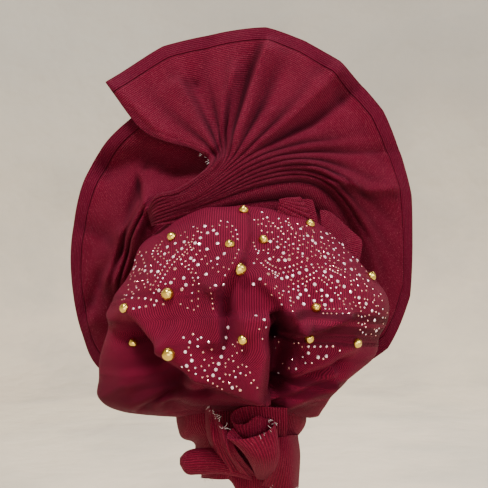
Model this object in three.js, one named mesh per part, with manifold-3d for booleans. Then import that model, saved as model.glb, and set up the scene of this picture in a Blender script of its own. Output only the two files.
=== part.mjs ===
// A ready-tied gele head tie in ribbed burgundy cloth, millimetres, +Z up.
// The back of the head faces -Y, the face looks along +Y, and the origin is the middle
// of the head opening at brow level. The head itself is open space.
import * as THREE from 'three';
import Module from 'manifold-3d';
import { mergeVertices } from 'three/addons/utils/BufferGeometryUtils.js';

const wasm = await Module();
wasm.setup();

// Overall sizes of the fan, which stands behind and over the pouch
const fanWidth = 412;
const fanHeight = 440;
const fanDepth = 60;

// Overall sizes of the pouch that covers the head
const crownWidth = 340;
const crownHeight = 222;
const crownBack = 152;
const crownFront = 100;

// The opening for the head
const headWidth = 157;
const headDepth = 176;
const headForward = 8;

// The knot and the wrap at the nape
const knotWidth = 0.74 * headWidth;
const knotHeight = 90;
const knotDepth = 58;
const napeTuck = 12;

// Cloth, pleats and clearances
const clothWall = 1.6;
const hemWall = 2.6;
const hemWidth = 18;
const clearance = 0.3;
const fanPleats = 17;
const fanPleatRise = 6;
const browPleats = 6;
const browPleatRise = 6;

// Gold studs
const studDiameter = 10;
const largeStudDiameter = 13;
const studRise = 0.58;
const studSides = 10;

// Facets: how many panels each surface has
const crownColumns = 38;
const crownRows = 19;
const columnsPerPleat = 3;
const finestFold = 13;

const burgundy = { color: 0x741a30, roughness: 0.82, metalness: 0 };
const gold = { color: 0xd9a83c, roughness: 0.24, metalness: 1 };

const table = (columns, rows) => {
  const names = columns.split(' ');
  return rows.map((row) => Object.fromEntries(names.map((name, i) => [name, row[i]])));
};

const column = (rows, name) => rows.map((row) => row[name]);

// A smooth curve through the values at the keys; slack under 1 draws its spans straighter
const through = (keys, values, t, slack = 1) => {
  const last = keys.length - 1;
  let i = 0;
  while (i < last - 1 && t > keys[i + 1]) i += 1;
  const grade = (j) => (values[j + 1] - values[j]) / (keys[j + 1] - keys[j]);
  const slope = (j) => {
    if (j === 0) return grade(0);
    if (j === last) return grade(last - 1);
    const share = (keys[j + 1] - keys[j]) / (keys[j + 1] - keys[j - 1]);
    return grade(j - 1) * share + grade(j) * (1 - share);
  };
  const span = keys[i + 1] - keys[i];
  const rise = values[i + 1] - values[i];
  const start = rise + (slope(i) * span - rise) * slack;
  const end = rise + (slope(i + 1) * span - rise) * slack;
  const s = (t - keys[i]) / span;
  const r = 1 - s;
  return values[i] + rise * s * s * (3 - 2 * s) + start * s * r * r - end * s * s * r;
};

const add = (a, b, share = 1) => a.map((value, i) => value + b[i] * share);
const minus = (a, b) => a.map((value, i) => value - b[i]);
const cross = (a, b) => [
  a[1] * b[2] - a[2] * b[1],
  a[2] * b[0] - a[0] * b[2],
  a[0] * b[1] - a[1] * b[0],
];
const unit = (a) => {
  const length = Math.hypot(...a) || 1;
  return a.map((value) => value / length);
};
const ease = (t) => {
  const s = Math.min(Math.max(t, 0), 1);
  return s * s * (3 - 2 * s);
};

// Closed solids from grids of points
const outward = (geometry) => {
  const at = geometry.getAttribute('position');
  const order = geometry.getIndex().array;
  let volume = 0;
  for (let i = 0; i < order.length; i += 3) {
    const [a, b, c] = [0, 1, 2].map((k) => new THREE.Vector3().fromBufferAttribute(at, order[i + k]));
    volume += a.dot(b.cross(c));
  }
  if (volume < 0) geometry.setIndex(Array.from(order).reverse());
  return geometry;
};

const indexed = (points, faces) => {
  const geometry = new THREE.BufferGeometry();
  geometry.setAttribute('position', new THREE.Float32BufferAttribute(points.flat(), 3));
  geometry.setIndex(faces.flat());
  return outward(geometry);
};

// A wall between a front and a back grid of points, with its rims closed
const wallBetween = (front, back, { ring = false, capped = false } = {}) => {
  const columns = front.length;
  const rows = front[0].length;
  const points = [];
  const faces = [];
  const place = (grid) => grid.map((line) => line.map((point) => points.push(point) - 1));
  const f = place(front);
  const b = place(back);
  const quad = (p, q, r, s) => faces.push([p, q, r], [p, r, s]);
  const spans = ring ? columns : columns - 1;
  for (let i = 0; i < spans; i += 1) {
    const n = (i + 1) % columns;
    for (let j = 0; j < rows - 1; j += 1) {
      quad(f[i][j], f[n][j], f[n][j + 1], f[i][j + 1]);
      quad(b[i][j + 1], b[n][j + 1], b[n][j], b[i][j]);
    }
    quad(b[i][0], b[n][0], f[n][0], f[i][0]);
    if (!capped) quad(f[i][rows - 1], f[n][rows - 1], b[n][rows - 1], b[i][rows - 1]);
  }
  if (capped) {
    const middle = (grid) => {
      const rim = grid.map((line) => line[rows - 1]);
      return rim.reduce((sum, point) => add(sum, point, 1 / rim.length), [0, 0, 0]);
    };
    const top = points.push(middle(front)) - 1;
    const under = points.push(middle(back)) - 1;
    for (let i = 0; i < columns; i += 1) {
      const n = (i + 1) % columns;
      faces.push([f[i][rows - 1], f[n][rows - 1], top], [under, b[n][rows - 1], b[i][rows - 1]]);
    }
  }
  if (!ring) {
    for (const [i, turn] of [[0, false], [columns - 1, true]]) {
      for (let j = 0; j < rows - 1; j += 1) {
        const side = [f[i][j], f[i][j + 1], b[i][j + 1], b[i][j]];
        quad(...(turn ? side.reverse() : side));
      }
    }
  }
  return indexed(points, faces);
};

// Moves every point of a grid along the normal of the surface there
const offset = (grid, distance, ring = false) => grid.map((line, i) => line.map((point, j) => {
  const columns = grid.length;
  const next = ring ? (i + 1) % columns : Math.min(i + 1, columns - 1);
  const before = ring ? (i + columns - 1) % columns : Math.max(i - 1, 0);
  const along = minus(grid[next][j], grid[before][j]);
  const up = minus(line[Math.min(j + 1, line.length - 1)], line[Math.max(j - 1, 0)]);
  return add(point, unit(cross(along, up)), distance);
}));

// Moves the rims of a grid outward along the surface
const widened = (grid, distance, ring = false) => grid.map((line, i) => line.map((point, j) => {
  const away = (from) => unit(minus(point, from)).map((value) => value * distance);
  const ends = [];
  if (j === 0) ends.push(away(line[1]));
  if (j === line.length - 1) ends.push(away(line[j - 1]));
  if (!ring && i === 0) ends.push(away(grid[1][j]));
  if (!ring && i === grid.length - 1) ends.push(away(grid[i - 1][j]));
  return ends.reduce((moved, end) => add(moved, end), point);
}));

const gridOf = (us, vs, point) => us.map((u) => vs.map((v) => point(u, v)));
const steps = (count, from = 0, to = 1) =>
  Array.from({ length: count + 1 }, (_, i) => from + ((to - from) * i) / count);

// Solids for cutting, and back to geometry
const solidOf = (geometry) => {
  const plain = geometry.clone();
  plain.deleteAttribute('normal');
  plain.deleteAttribute('uv');
  const merged = mergeVertices(plain, 1e-4);
  return new wasm.Manifold(new wasm.Mesh({
    numProp: 3,
    vertProperties: Float32Array.from(merged.getAttribute('position').array),
    triVerts: Uint32Array.from(merged.getIndex().array),
  }));
};

const geometryOf = (solid) => {
  const mesh = solid.getMesh();
  const geometry = new THREE.BufferGeometry();
  geometry.setAttribute('position', new THREE.Float32BufferAttribute(Array.from(mesh.vertProperties), 3));
  geometry.setIndex(Array.from(mesh.triVerts));
  return geometry;
};

// The largest body that is left of a solid once its neighbours are cut away
const flatness = 0.02;
const clearOf = (solid, ...neighbours) => {
  const left = neighbours.reduce((rest, neighbour) => rest.subtract(neighbour), solid);
  const bodies = left.decompose().sort((a, b) => b.volume() - a.volume());
  return bodies[0].simplify(flatness);
};

// The pouch: rings from the head opening up to the top
const headBack = (headDepth / 2 - headForward) / crownBack;
const headFront = (headDepth / 2 + headForward) / crownFront;
const headSide = headWidth / 2 / crownWidth;
const crownRings = table('level left right back front zSide zBack zFront', [
  [0.00, headSide, headSide, headBack, headFront, -0.070, 0.010, 0.072],
  [0.10, 0.294, 0.235, 0.560, 1.00, -0.066, 0.026, 0.100],
  [0.20, 0.394, 0.262, 0.650, 1.00, -0.030, 0.048, 0.153],
  [0.30, 0.443, 0.312, 0.800, 0.98, 0.054, 0.070, 0.225],
  [0.40, 0.458, 0.372, 0.920, 0.94, 0.162, 0.195, 0.315],
  [0.50, 0.447, 0.435, 0.985, 0.88, 0.288, 0.340, 0.414],
  [0.60, 0.424, 0.483, 0.985, 0.80, 0.414, 0.495, 0.518],
  [0.70, 0.392, 0.478, 0.930, 0.72, 0.541, 0.640, 0.622],
  [0.80, 0.358, 0.405, 0.800, 0.60, 0.676, 0.780, 0.730],
  [0.90, 0.312, 0.315, 0.590, 0.40, 0.829, 0.915, 0.856],
  [0.97, 0.190, 0.182, 0.340, 0.15, 0.945, 0.995, 0.955],
  [1.00, 0.040, 0.040, 0.150, -0.09, 0.990, 1.000, 0.985],
]);
const crownSquareness = 2.2;
const crownLevels = column(crownRings, 'level');

// Turns from the back (0) by the right (0.5 pi) to the face (pi); panels are closer at the back
const backCrowding = 0.45;
const crownTurns = Array.from({ length: crownColumns }, (_, i) => {
  const turn = (2 * Math.PI * i) / crownColumns;
  return turn - backCrowding * Math.sin(turn);
});

const ringPoint = (turn, level) => {
  const read = (name) => through(crownLevels, column(crownRings, name), level);
  const power = 2 / crownSquareness;
  const sine = Math.sin(turn);
  const cosine = Math.cos(turn);
  const x = Math.sign(sine) * Math.abs(sine) ** power * read(sine > 0 ? 'right' : 'left') * crownWidth;
  const y = cosine > 0
    ? -(cosine ** power) * read('back') * crownBack
    : Math.abs(cosine) ** power * read('front') * crownFront;
  const rise = read(cosine > 0 ? 'zBack' : 'zFront') - read('zSide');
  return [x, y, (read('zSide') + rise * cosine * cosine) * crownHeight];
};

// Folds seen from behind: each runs through three places, given as shares of the width and
// height of its piece, reaches a share of the width to its left and right and past its ends,
// stands proud (or sinks, if below 0) by a share of the depth, and has a power: low for a
// sharp crest, high for a round one
const foldColumns = 'x0 z0 x1 z1 x2 z2 left right tip rise power';
const crownFolds = table(foldColumns, [
  [0.010, 1.007, 0.022, 0.853, -0.002, 0.729, 0.012, 0.042, 0.06, 0.059, 1.6],
  [-0.002, 0.729, -0.037, 0.648, -0.069, 0.577, 0.015, 0.061, 0.03, 0.095, 1.6],
  [-0.089, 0.915, -0.209, 0.727, -0.319, 0.554, 0.091, 0.091, 0.06, 0.059, 2.0],
  [-0.069, 0.577, -0.078, 0.491, -0.087, 0.400, 0.015, 0.048, 0.02, 0.070, 1.6],
  [-0.054, 0.559, -0.034, 0.477, -0.013, 0.395, 0.026, 0.022, 0.03, -0.105, 1.8],
  [0.034, 0.707, -0.010, 0.595, -0.005, 0.478, 0.027, 0.012, 0.03, 0.060, 1.6],
  [0.182, 0.806, 0.291, 0.664, 0.419, 0.537, 0.103, 0.103, 0.06, 0.046, 2.0],
  [0.060, 0.500, 0.080, 0.381, 0.081, 0.125, 0.009, 0.100, 0.010, 0.180, 2.0],
  [0.138, 0.430, 0.150, 0.314, 0.115, 0.150, 0.045, 0.045, 0.04, -0.340, 2.4],
  [0.075, 0.500, 0.105, 0.521, 0.137, 0.427, 0.027, 0.009, 0.02, 0.095, 1.8],
  [0.134, 0.408, 0.197, 0.402, 0.277, 0.449, 0.048, 0.009, 0.04, 0.150, 1.8],
  [0.120, 0.206, 0.227, 0.258, 0.333, 0.326, 0.027, 0.024, 0.03, 0.059, 2.0],
  [0.105, 0.149, 0.188, 0.189, 0.291, 0.252, 0.013, 0.015, 0.03, -0.085, 1.6],
  [0.145, 0.071, 0.263, 0.156, 0.434, 0.287, 0.030, 0.024, 0.03, 0.070, 2.0],
  [0.096, 0.061, 0.171, 0.106, 0.261, 0.177, 0.013, 0.013, 0.03, -0.080, 1.6],
  [0.274, 0.215, 0.265, 0.106, 0.239, -0.028, 0.012, 0.036, 0.03, 0.060, 1.8],
  [-0.233, 0.315, -0.130, 0.205, 0.068, 0.120, 0.079, 0.009, 0.02, 0.110, 1.8],
  [-0.371, 0.430, -0.314, 0.475, -0.241, 0.333, 0.048, 0.008, 0.03, 0.090, 1.8],
  [-0.338, 0.383, -0.287, 0.300, -0.207, 0.188, 0.039, 0.055, 0.04, -0.250, 2.0],
  [-0.300, 0.230, -0.265, 0.130, -0.215, 0.050, 0.055, 0.050, 0.04, -0.110, 2.0],
  [-0.377, 0.537, -0.438, 0.309, -0.440, 0.092, 0.036, 0.036, 0.04, 0.045, 2.0],
  [-0.410, 0.089, -0.319, 0.180, -0.232, 0.259, 0.036, 0.036, 0.04, 0.070, 2.0],
  [-0.397, 0.030, -0.280, 0.048, -0.156, 0.147, 0.033, 0.039, 0.04, 0.059, 2.0],
  [-0.109, 0.133, -0.206, 0.125, -0.302, 0.026, 0.015, 0.015, 0.03, -0.085, 1.6],
]);

// How much of a fold there is at a place: 1 on its line, less to the sides and past its ends
const foldShare = (fold, x, z, width, height) => {
  let nearest = Infinity;
  let side = 0;
  let past = 0;
  for (const k of [0, 1]) {
    const [ax, az] = [fold[`x${k}`] * width, fold[`z${k}`] * height];
    const [dx, dz] = [fold[`x${k + 1}`] * width - ax, fold[`z${k + 1}`] * height - az];
    const length = Math.hypot(dx, dz);
    const share = ((x - ax) * dx + (z - az) * dz) / length ** 2;
    const held = Math.min(Math.max(share, 0), 1);
    const distance = Math.hypot(x - ax - dx * held, z - az - dz * held);
    if (distance < nearest) {
      const across = ((x - ax) * dz - (z - az) * dx) / length;
      const over = k === 0 ? Math.max(-share, 0) : Math.max(share - 1, 0);
      side = over > 0 ? across : Math.sign(across) * distance;
      past = over * length;
      nearest = distance;
    }
  }
  const reach = Math.max((side < 0 ? fold.left : fold.right) * width, finestFold);
  const tip = Math.max(fold.tip * width, finestFold);
  return Math.exp(-(Math.abs(side / reach) ** fold.power)) * Math.exp(-((past / tip) ** 2));
};

const relief = (folds, x, z, width, height) =>
  folds.reduce((sum, fold) => sum + foldShare(fold, x, z, width, height) * fold.rise, 0);

// The relief of the pouch fades out towards the face, the head opening and the top, and it
// stands out to the back more than to the sides or upward
const reliefFrom = -0.05;
const reliefFull = 0.35;
const rimShare = 0.1;
const topShare = 0.08;
const reliefLean = [0.5, 1, 0.2];
const nearby = 0.01;
const ringNormal = (turn, level) => {
  const along = minus(ringPoint(turn + nearby, level), ringPoint(turn - nearby, level));
  const high = ringPoint(turn, Math.min(level + nearby, 1));
  return unit(cross(along, minus(high, ringPoint(turn, Math.max(level - nearby, 0)))));
};
const crownPoint = (turn, level) => {
  const base = ringPoint(turn, level);
  const facing = ease((Math.cos(turn) - reliefFrom) / (reliefFull - reliefFrom));
  const share = facing * ease(level / rimShare) * ease((1 - level) / topShare);
  if (share === 0) return base;
  const outwards = unit(ringNormal(turn, level).map((value, axis) => value * reliefLean[axis]));
  return add(base, outwards, relief(crownFolds, base[0], base[2], crownWidth, crownHeight) * crownBack * share);
};

const crownGrid = gridOf(crownTurns, steps(crownRows), crownPoint);

const crownWall = () => wallBetween(
  crownGrid,
  offset(crownGrid, -clothWall, true),
  { ring: true, capped: true },
);

// The space that the pouch takes up, with the hollow filled, for cutting what leans on it
const crownSpace = (grow) => {
  const outer = offset(crownGrid, grow, true);
  const columns = outer.length;
  const rows = outer[0].length;
  const points = outer.flat();
  const faces = [];
  const id = (i, j) => (i % columns) * rows + j;
  const ends = [0, rows - 1].map((j) => {
    const rim = outer.map((line) => line[j]);
    return points.push(rim.reduce((sum, point) => add(sum, point, 1 / columns), [0, 0, 0])) - 1;
  });
  for (let i = 0; i < columns; i += 1) {
    for (let j = 0; j < rows - 1; j += 1) {
      faces.push([id(i, j), id(i + 1, j), id(i + 1, j + 1)], [id(i, j), id(i + 1, j + 1), id(i, j + 1)]);
    }
    faces.push([id(i, 0), ends[0], id(i + 1, 0)], [id(i, rows - 1), id(i + 1, rows - 1), ends[1]]);
  }
  return indexed(points, faces);
};

// Surfaces given by a table: rows across the pleats, and places along each row
const placesAlong = (names, shares) => (row) =>
  names.map((k, i) => [row[`x${k}`], row[`y${k}`], row[`z${k}`]].map((value, axis) => value * shares[i][axis]));

const crownShare = [crownWidth, crownBack, crownHeight];
const fanShare = [fanWidth, fanDepth, fanHeight];
const knotShare = [knotWidth, knotDepth, knotHeight];

// A smooth surface through a table of places; the last place may be drawn straighter
const surface = (rows, placeKeys, shares, lastSlack = 1) => {
  const names = placeKeys.map((_, i) => i);
  const placed = rows.map(placesAlong(names, shares));
  const keys = column(rows, 'u');
  return (u, v) => [0, 1, 2].map((axis) => {
    const line = names.map((k) => {
      const straight = k === names.length - 1 ? lastSlack : 1;
      return through(keys, placed.map((places) => places[k][axis]), u, straight);
    });
    return through(placeKeys, line, v);
  });
};

// Rounded ridges side by side, one for each whole step of t
const pleatRidge = (t) => {
  const across = 2 * (t - Math.floor(t)) - 1;
  return Math.sqrt(Math.max(1 - across * across, 0));
};

// Main fan: pleats run from a pinch on the left, over the pouch, and open out to the hem.
// Places 0 to 3 follow the pouch, places 4 to 6 follow the fan
const fanPlaces = [0, 0.1, 0.25, 0.4, 0.6, 0.8, 1];
const fanShares = [crownShare, crownShare, crownShare, crownShare, fanShare, fanShare, fanShare];
const fanOwn = table('u x2 z2 y2 x3 z3 y3 x4 z4 y4 x5 z5 y5 x6 z6 y6', [
  [0.00, -0.195, 1.085, -0.39, -0.106, 1.191, -0.34, -0.122, 0.646, -0.50, -0.267, 0.700, -0.08, -0.384, 0.838, 0.33],
  [0.06, -0.188, 1.075, -0.41, -0.090, 1.195, -0.36, -0.089, 0.658, -0.50, -0.198, 0.754, 0.00, -0.319, 0.884, 0.50],
  [0.12, -0.181, 1.070, -0.41, -0.080, 1.200, -0.36, -0.071, 0.674, -0.47, -0.135, 0.792, 0.08, -0.225, 0.941, 0.57],
  [0.20, -0.171, 1.060, -0.42, -0.070, 1.201, -0.34, -0.052, 0.696, -0.37, -0.065, 0.825, 0.13, -0.090, 0.973, 0.60],
  [0.30, -0.162, 1.055, -0.42, -0.054, 1.201, -0.33, -0.008, 0.723, -0.30, 0.031, 0.847, 0.17, 0.072, 0.992, 0.60],
  [0.37, -0.156, 1.050, -0.42, -0.038, 1.207, -0.32, 0.044, 0.713, -0.27, 0.116, 0.827, 0.20, 0.184, 0.957, 0.60],
  [0.43, -0.149, 1.045, -0.42, -0.019, 1.213, -0.30, 0.088, 0.701, -0.23, 0.189, 0.793, 0.23, 0.285, 0.900, 0.60],
  [0.51, -0.143, 1.040, -0.42, 0.007, 1.209, -0.29, 0.141, 0.673, -0.20, 0.275, 0.711, 0.27, 0.410, 0.769, 0.63],
  [0.58, -0.137, 1.035, -0.41, 0.030, 1.199, -0.28, 0.174, 0.650, -0.17, 0.320, 0.659, 0.30, 0.465, 0.645, 0.67],
  [0.64, -0.130, 1.028, -0.41, 0.046, 1.185, -0.26, 0.197, 0.630, -0.13, 0.344, 0.601, 0.33, 0.492, 0.542, 0.70],
  [0.71, -0.124, 1.021, -0.40, 0.062, 1.166, -0.25, 0.214, 0.607, -0.10, 0.359, 0.532, 0.37, 0.496, 0.406, 0.73],
  [0.79, -0.118, 1.012, -0.39, 0.072, 1.142, -0.24, 0.225, 0.581, -0.05, 0.357, 0.463, 0.45, 0.491, 0.265, 0.77],
  [0.88, -0.115, 1.002, -0.38, 0.086, 1.107, -0.22, 0.229, 0.553, 0.02, 0.342, 0.401, 0.57, 0.429, 0.124, 0.87],
  [1.00, -0.112, 0.920, -0.34, 0.095, 0.940, -0.16, 0.190, 0.430, 0.10, 0.250, 0.290, 0.65, 0.190, -0.020, 1.05],
]);

// Where the pleats of the fan start: a pinch that stands on the upper left of the pouch
const pinch = table('u x0 z0 y0 x1 z1 y1', [
  [0.0, -0.302, 0.975, -0.29, -0.275, 1.040, -0.38],
  [1.0, -0.288, 0.900, -0.30, -0.262, 0.905, -0.37],
]);
const pinchAt = (u) => Object.fromEntries(
  Object.keys(pinch[0]).map((name) => [name, pinch[0][name] + (pinch[1][name] - pinch[0][name]) * u]),
);
const fanRows = fanOwn.map((row) => ({ ...pinchAt(row.u), ...row }));
const hemSlack = 0.45;
const fanBase = surface(fanRows, fanPlaces, fanShares, hemSlack);

// Creases of the open fan, drawn as the folds of the pouch are
const fanCreases = table(foldColumns, [
  [0.065, 0.923, 0.022, 0.800, -0.028, 0.650, 0.055, 0.006, 0.03, 0.300, 1.3],
  [0.011, 0.855, -0.017, 0.736, -0.053, 0.644, 0.012, 0.030, 0.04, -0.220, 1.8],
  [-0.025, 0.855, -0.045, 0.776, -0.066, 0.665, 0.018, 0.018, 0.03, 0.150, 1.6],
  [-0.124, 0.836, -0.082, 0.749, -0.062, 0.662, 0.024, 0.012, 0.03, -0.150, 1.6],
  [-0.172, 0.831, -0.127, 0.757, -0.079, 0.657, 0.010, 0.050, 0.02, 0.200, 1.5],
  [-0.168, 0.836, -0.144, 0.842, -0.122, 0.838, 0.008, 0.020, 0.01, -0.050, 1.6],
  [0.076, 0.828, 0.039, 0.736, -0.008, 0.657, 0.020, 0.020, 0.04, -0.170, 1.8],
  [0.264, 0.860, 0.110, 0.710, -0.003, 0.631, 0.020, 0.040, 0.05, 0.150, 1.7],
  [0.279, 0.789, 0.194, 0.723, 0.076, 0.665, 0.016, 0.030, 0.04, -0.180, 1.7],
  [0.363, 0.657, 0.265, 0.650, 0.166, 0.644, 0.010, 0.022, 0.04, -0.110, 1.6],
  [0.266, 0.563, 0.292, 0.587, 0.318, 0.563, 0.014, 0.010, 0.02, 0.160, 1.4],
  [0.308, 0.563, 0.365, 0.546, 0.429, 0.554, 0.030, 0.008, 0.02, 0.180, 1.4],
  [0.056, 0.737, 0.070, 0.746, 0.085, 0.754, 0.005, 0.009, 0.01, 0.050, 1.6],
  [0.044, 0.601, 0.172, 0.623, 0.289, 0.563, 0.020, 0.012, 0.04, 0.090, 1.8],
  [0.289, 0.546, 0.347, 0.475, 0.371, 0.399, 0.020, 0.030, 0.05, 0.100, 1.8],
  [-0.353, 0.819, -0.294, 0.765, -0.219, 0.694, 0.025, 0.012, 0.04, 0.090, 1.8],
  [-0.090, 0.950, -0.100, 0.900, -0.120, 0.850, 0.030, 0.030, 0.04, -0.070, 2.0],
  [0.240, 0.870, 0.330, 0.760, 0.400, 0.640, 0.030, 0.030, 0.05, -0.080, 2.0],
]);
const creasesFrom = 0.42;
const creasesOver = 0.12;
const pleatKeys = [0, 0.1, 0.25, 0.4, 0.55, 0.75, 1];
const pleatShares = [0.3, 0.4, 0.7, 1, 0.9, 0.3, 0];

const fanPoint = (u, v) => {
  const point = fanBase(u, v);
  const pleat = pleatRidge(u * fanPleats) * through(pleatKeys, pleatShares, v) * fanPleatRise;
  const crease = relief(fanCreases, point[0], point[2], fanWidth, fanHeight) * ease((v - creasesFrom) / creasesOver);
  return add(point, [0, -1, 0], pleat + crease * fanDepth);
};

// Left lobe: the other edge of the same fan, which opens behind the pinch and hangs to the left
const lobePlaces = [0, 0.25, 0.5, 0.75, 1];
const lobeShares = [crownShare, crownShare, fanShare, fanShare, fanShare];
const lobeRows = table('u x0 z0 y0 x1 z1 y1 x2 z2 y2 x3 z3 y3 x4 z4 y4', [
  [0.00, -0.060, 1.240, -0.06, -0.085, 1.330, -0.01, -0.105, 0.720, 0.12, -0.170, 0.765, 0.30, -0.240, 0.800, 0.45],
  [0.10, -0.110, 1.184, -0.09, -0.172, 1.255, -0.03, -0.205, 0.664, 0.13, -0.267, 0.699, 0.33, -0.327, 0.737, 0.50],
  [0.20, -0.143, 1.138, -0.11, -0.222, 1.193, -0.03, -0.256, 0.631, 0.17, -0.328, 0.652, 0.40, -0.394, 0.676, 0.57],
  [0.32, -0.180, 1.080, -0.13, -0.262, 1.125, -0.04, -0.285, 0.583, 0.20, -0.369, 0.589, 0.47, -0.447, 0.595, 0.60],
  [0.44, -0.195, 0.970, -0.18, -0.304, 1.040, -0.09, -0.313, 0.531, 0.20, -0.399, 0.511, 0.50, -0.480, 0.488, 0.63],
  [0.56, -0.200, 0.860, -0.16, -0.326, 0.950, -0.15, -0.328, 0.475, 0.07, -0.410, 0.431, 0.47, -0.492, 0.379, 0.67],
  [0.68, -0.215, 0.790, -0.14, -0.338, 0.890, -0.19, -0.341, 0.425, 0.00, -0.415, 0.355, 0.47, -0.486, 0.279, 0.70],
  [0.80, -0.225, 0.750, -0.10, -0.342, 0.835, -0.18, -0.347, 0.362, 0.07, -0.407, 0.264, 0.50, -0.463, 0.169, 0.77],
  [0.90, -0.230, 0.720, -0.06, -0.338, 0.780, -0.12, -0.335, 0.314, 0.23, -0.384, 0.193, 0.60, -0.421, 0.075, 0.87],
  [1.00, -0.255, 0.720, -0.04, -0.315, 0.690, 0.02, -0.290, 0.270, 0.47, -0.300, 0.134, 0.80, -0.300, -0.015, 1.00],
]);
const lobeBase = surface(lobeRows, lobePlaces, lobeShares);
const lobeCreases = table(foldColumns, [
  [-0.268, 0.500, -0.313, 0.425, -0.347, 0.320, 0.008, 0.010, 0.03, 0.240, 1.6],
  [-0.259, 0.490, -0.293, 0.415, -0.327, 0.325, 0.010, 0.008, 0.03, 0.208, 1.6],
  [-0.263, 0.492, -0.304, 0.420, -0.338, 0.322, 0.004, 0.004, 0.03, -0.128, 1.6],
  [-0.285, 0.503, -0.333, 0.436, -0.375, 0.325, 0.010, 0.018, 0.03, 0.224, 1.6],
  [-0.293, 0.518, -0.327, 0.489, -0.329, 0.426, 0.018, 0.018, 0.02, -0.272, 1.8],
  [-0.285, 0.590, -0.308, 0.561, -0.316, 0.511, 0.030, 0.012, 0.03, 0.240, 1.6],
  [-0.381, 0.611, -0.285, 0.630, -0.138, 0.595, 0.045, 0.045, 0.05, -0.320, 2.0],
  [-0.289, 0.608, -0.262, 0.547, -0.254, 0.495, 0.012, 0.040, 0.03, 0.224, 1.6],
  [-0.341, 0.373, -0.392, 0.320, -0.418, 0.262, 0.030, 0.024, 0.04, -0.272, 1.8],
  [-0.369, 0.326, -0.404, 0.273, -0.426, 0.214, 0.024, 0.024, 0.04, 0.160, 1.8],
  [-0.432, 0.447, -0.381, 0.426, -0.341, 0.399, 0.030, 0.030, 0.05, -0.096, 2.0],
]);
const lobeCreasesOver = 0.25;
const lobePoint = (u, v) => {
  const point = lobeBase(u, v);
  const crease = relief(lobeCreases, point[0], point[2], fanWidth, fanHeight) * ease(v / lobeCreasesOver);
  return add(point, [0, -1, 0], crease * fanDepth);
};

// Walls of sheets that face the back: their thickness is measured square to the cloth
const steepest = 0.4;
const sheetWall = (us, vs, point, thickness, grow = 0) => {
  const grid = widened(gridOf(us, vs, point), grow);
  const face = offset(grid, 1);
  const side = (sign) => grid.map((line, i) => line.map((at, j) => {
    const slope = Math.max(Math.abs(face[i][j][1] - at[1]), steepest);
    return add(at, [0, sign, 0], (thickness(vs[j]) / 2 + grow) / slope);
  }));
  return wallBetween(side(-1), side(1));
};

const fanLength = 1.1 * fanHeight;
const lobeLength = 0.39 * fanHeight;
const hemStart = (length) => 1 - hemWidth / length;
const hemmed = (edge) => (v) => (v >= edge ? hemWall : clothWall);

const fanHem = hemStart(fanLength);
const fanRowsAlong = [0, 0.06, 0.12, 0.2, 0.3, 0.4, 0.5, 0.62, 0.76, 0.88, fanHem, 1];
const lobeHem = hemStart(lobeLength);
const lobeRowsAlong = [0, 0.12, 0.25, 0.4, 0.55, 0.7, 0.82, lobeHem, 1];
const lobeColumns = 22;

const fanWall = (grow = 0) => sheetWall(
  steps(fanPleats * columnsPerPleat),
  fanRowsAlong,
  fanPoint,
  hemmed(fanHem),
  grow,
);
const lobeWall = (grow = 0) => sheetWall(steps(lobeColumns), lobeRowsAlong, lobePoint, hemmed(lobeHem), grow);

// Face side: a crescent of stacked pleats from temple to temple on the front of the pouch
const browTurnStart = 0.53 * Math.PI;
const browTurnEnd = 1.47 * Math.PI;
const browColumns = 18;
const browTop = table('u level', [[0, 0.30], [0.25, 0.56], [0.5, 0.66], [0.75, 0.56], [1, 0.30]]);
const browLow = 0.03;
const browSeat = 0.25;
const browEndRise = 0.35;
const browEnds = 0.2;
const browPoint = (u, v) => {
  const turn = browTurnStart + (browTurnEnd - browTurnStart) * u;
  const high = through(column(browTop, 'u'), column(browTop, 'level'), u);
  const level = browLow + (high - browLow) * v;
  const ends = ease(u / browEnds) * ease((1 - u) / browEnds);
  const fullness = browEndRise + (1 - browEndRise) * ends;
  const rise = clothWall + clearance + (browSeat + pleatRidge(v * browPleats)) * browPleatRise * fullness;
  return add(ringPoint(turn, level), ringNormal(turn, level), rise);
};
const thickened = (grid, grow = 0, ring = false) => {
  const wide = widened(grid, grow, ring);
  return wallBetween(
    offset(wide, clothWall / 2 + grow, ring),
    offset(wide, -clothWall / 2 - grow, ring),
    { ring },
  );
};
const browWall = (grow = 0) =>
  thickened(gridOf(steps(browColumns), steps(browPleats * 2), browPoint), grow);

// Small loose pleats and two flaps that show at the right, between the fan and the pouch
const flapPlaces = [0, 0.5, 1];
const innerPleatRows = table('u x0 z0 y0 x1 z1 y1 x2 z2 y2', [
  [0.00, 0.122, 1.026, -0.39, 0.155, 1.038, -0.34, 0.188, 1.044, -0.30],
  [0.33, 0.122, 1.021, -0.39, 0.168, 1.003, -0.36, 0.211, 0.989, -0.32],
  [0.66, 0.119, 1.000, -0.39, 0.171, 0.968, -0.37, 0.220, 0.925, -0.33],
  [1.00, 0.115, 0.960, -0.39, 0.157, 0.910, -0.38, 0.190, 0.860, -0.35],
]);
const innerFlapRows = table('u x0 z0 y0 x1 z1 y1 x2 z2 y2', [
  [0.0, 0.189, 1.030, -0.26, 0.200, 0.960, -0.30, 0.210, 0.870, -0.34],
  [0.5, 0.212, 1.036, -0.26, 0.222, 0.955, -0.29, 0.233, 0.850, -0.33],
  [1.0, 0.235, 1.031, -0.25, 0.247, 0.945, -0.28, 0.259, 0.830, -0.31],
]);
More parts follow.
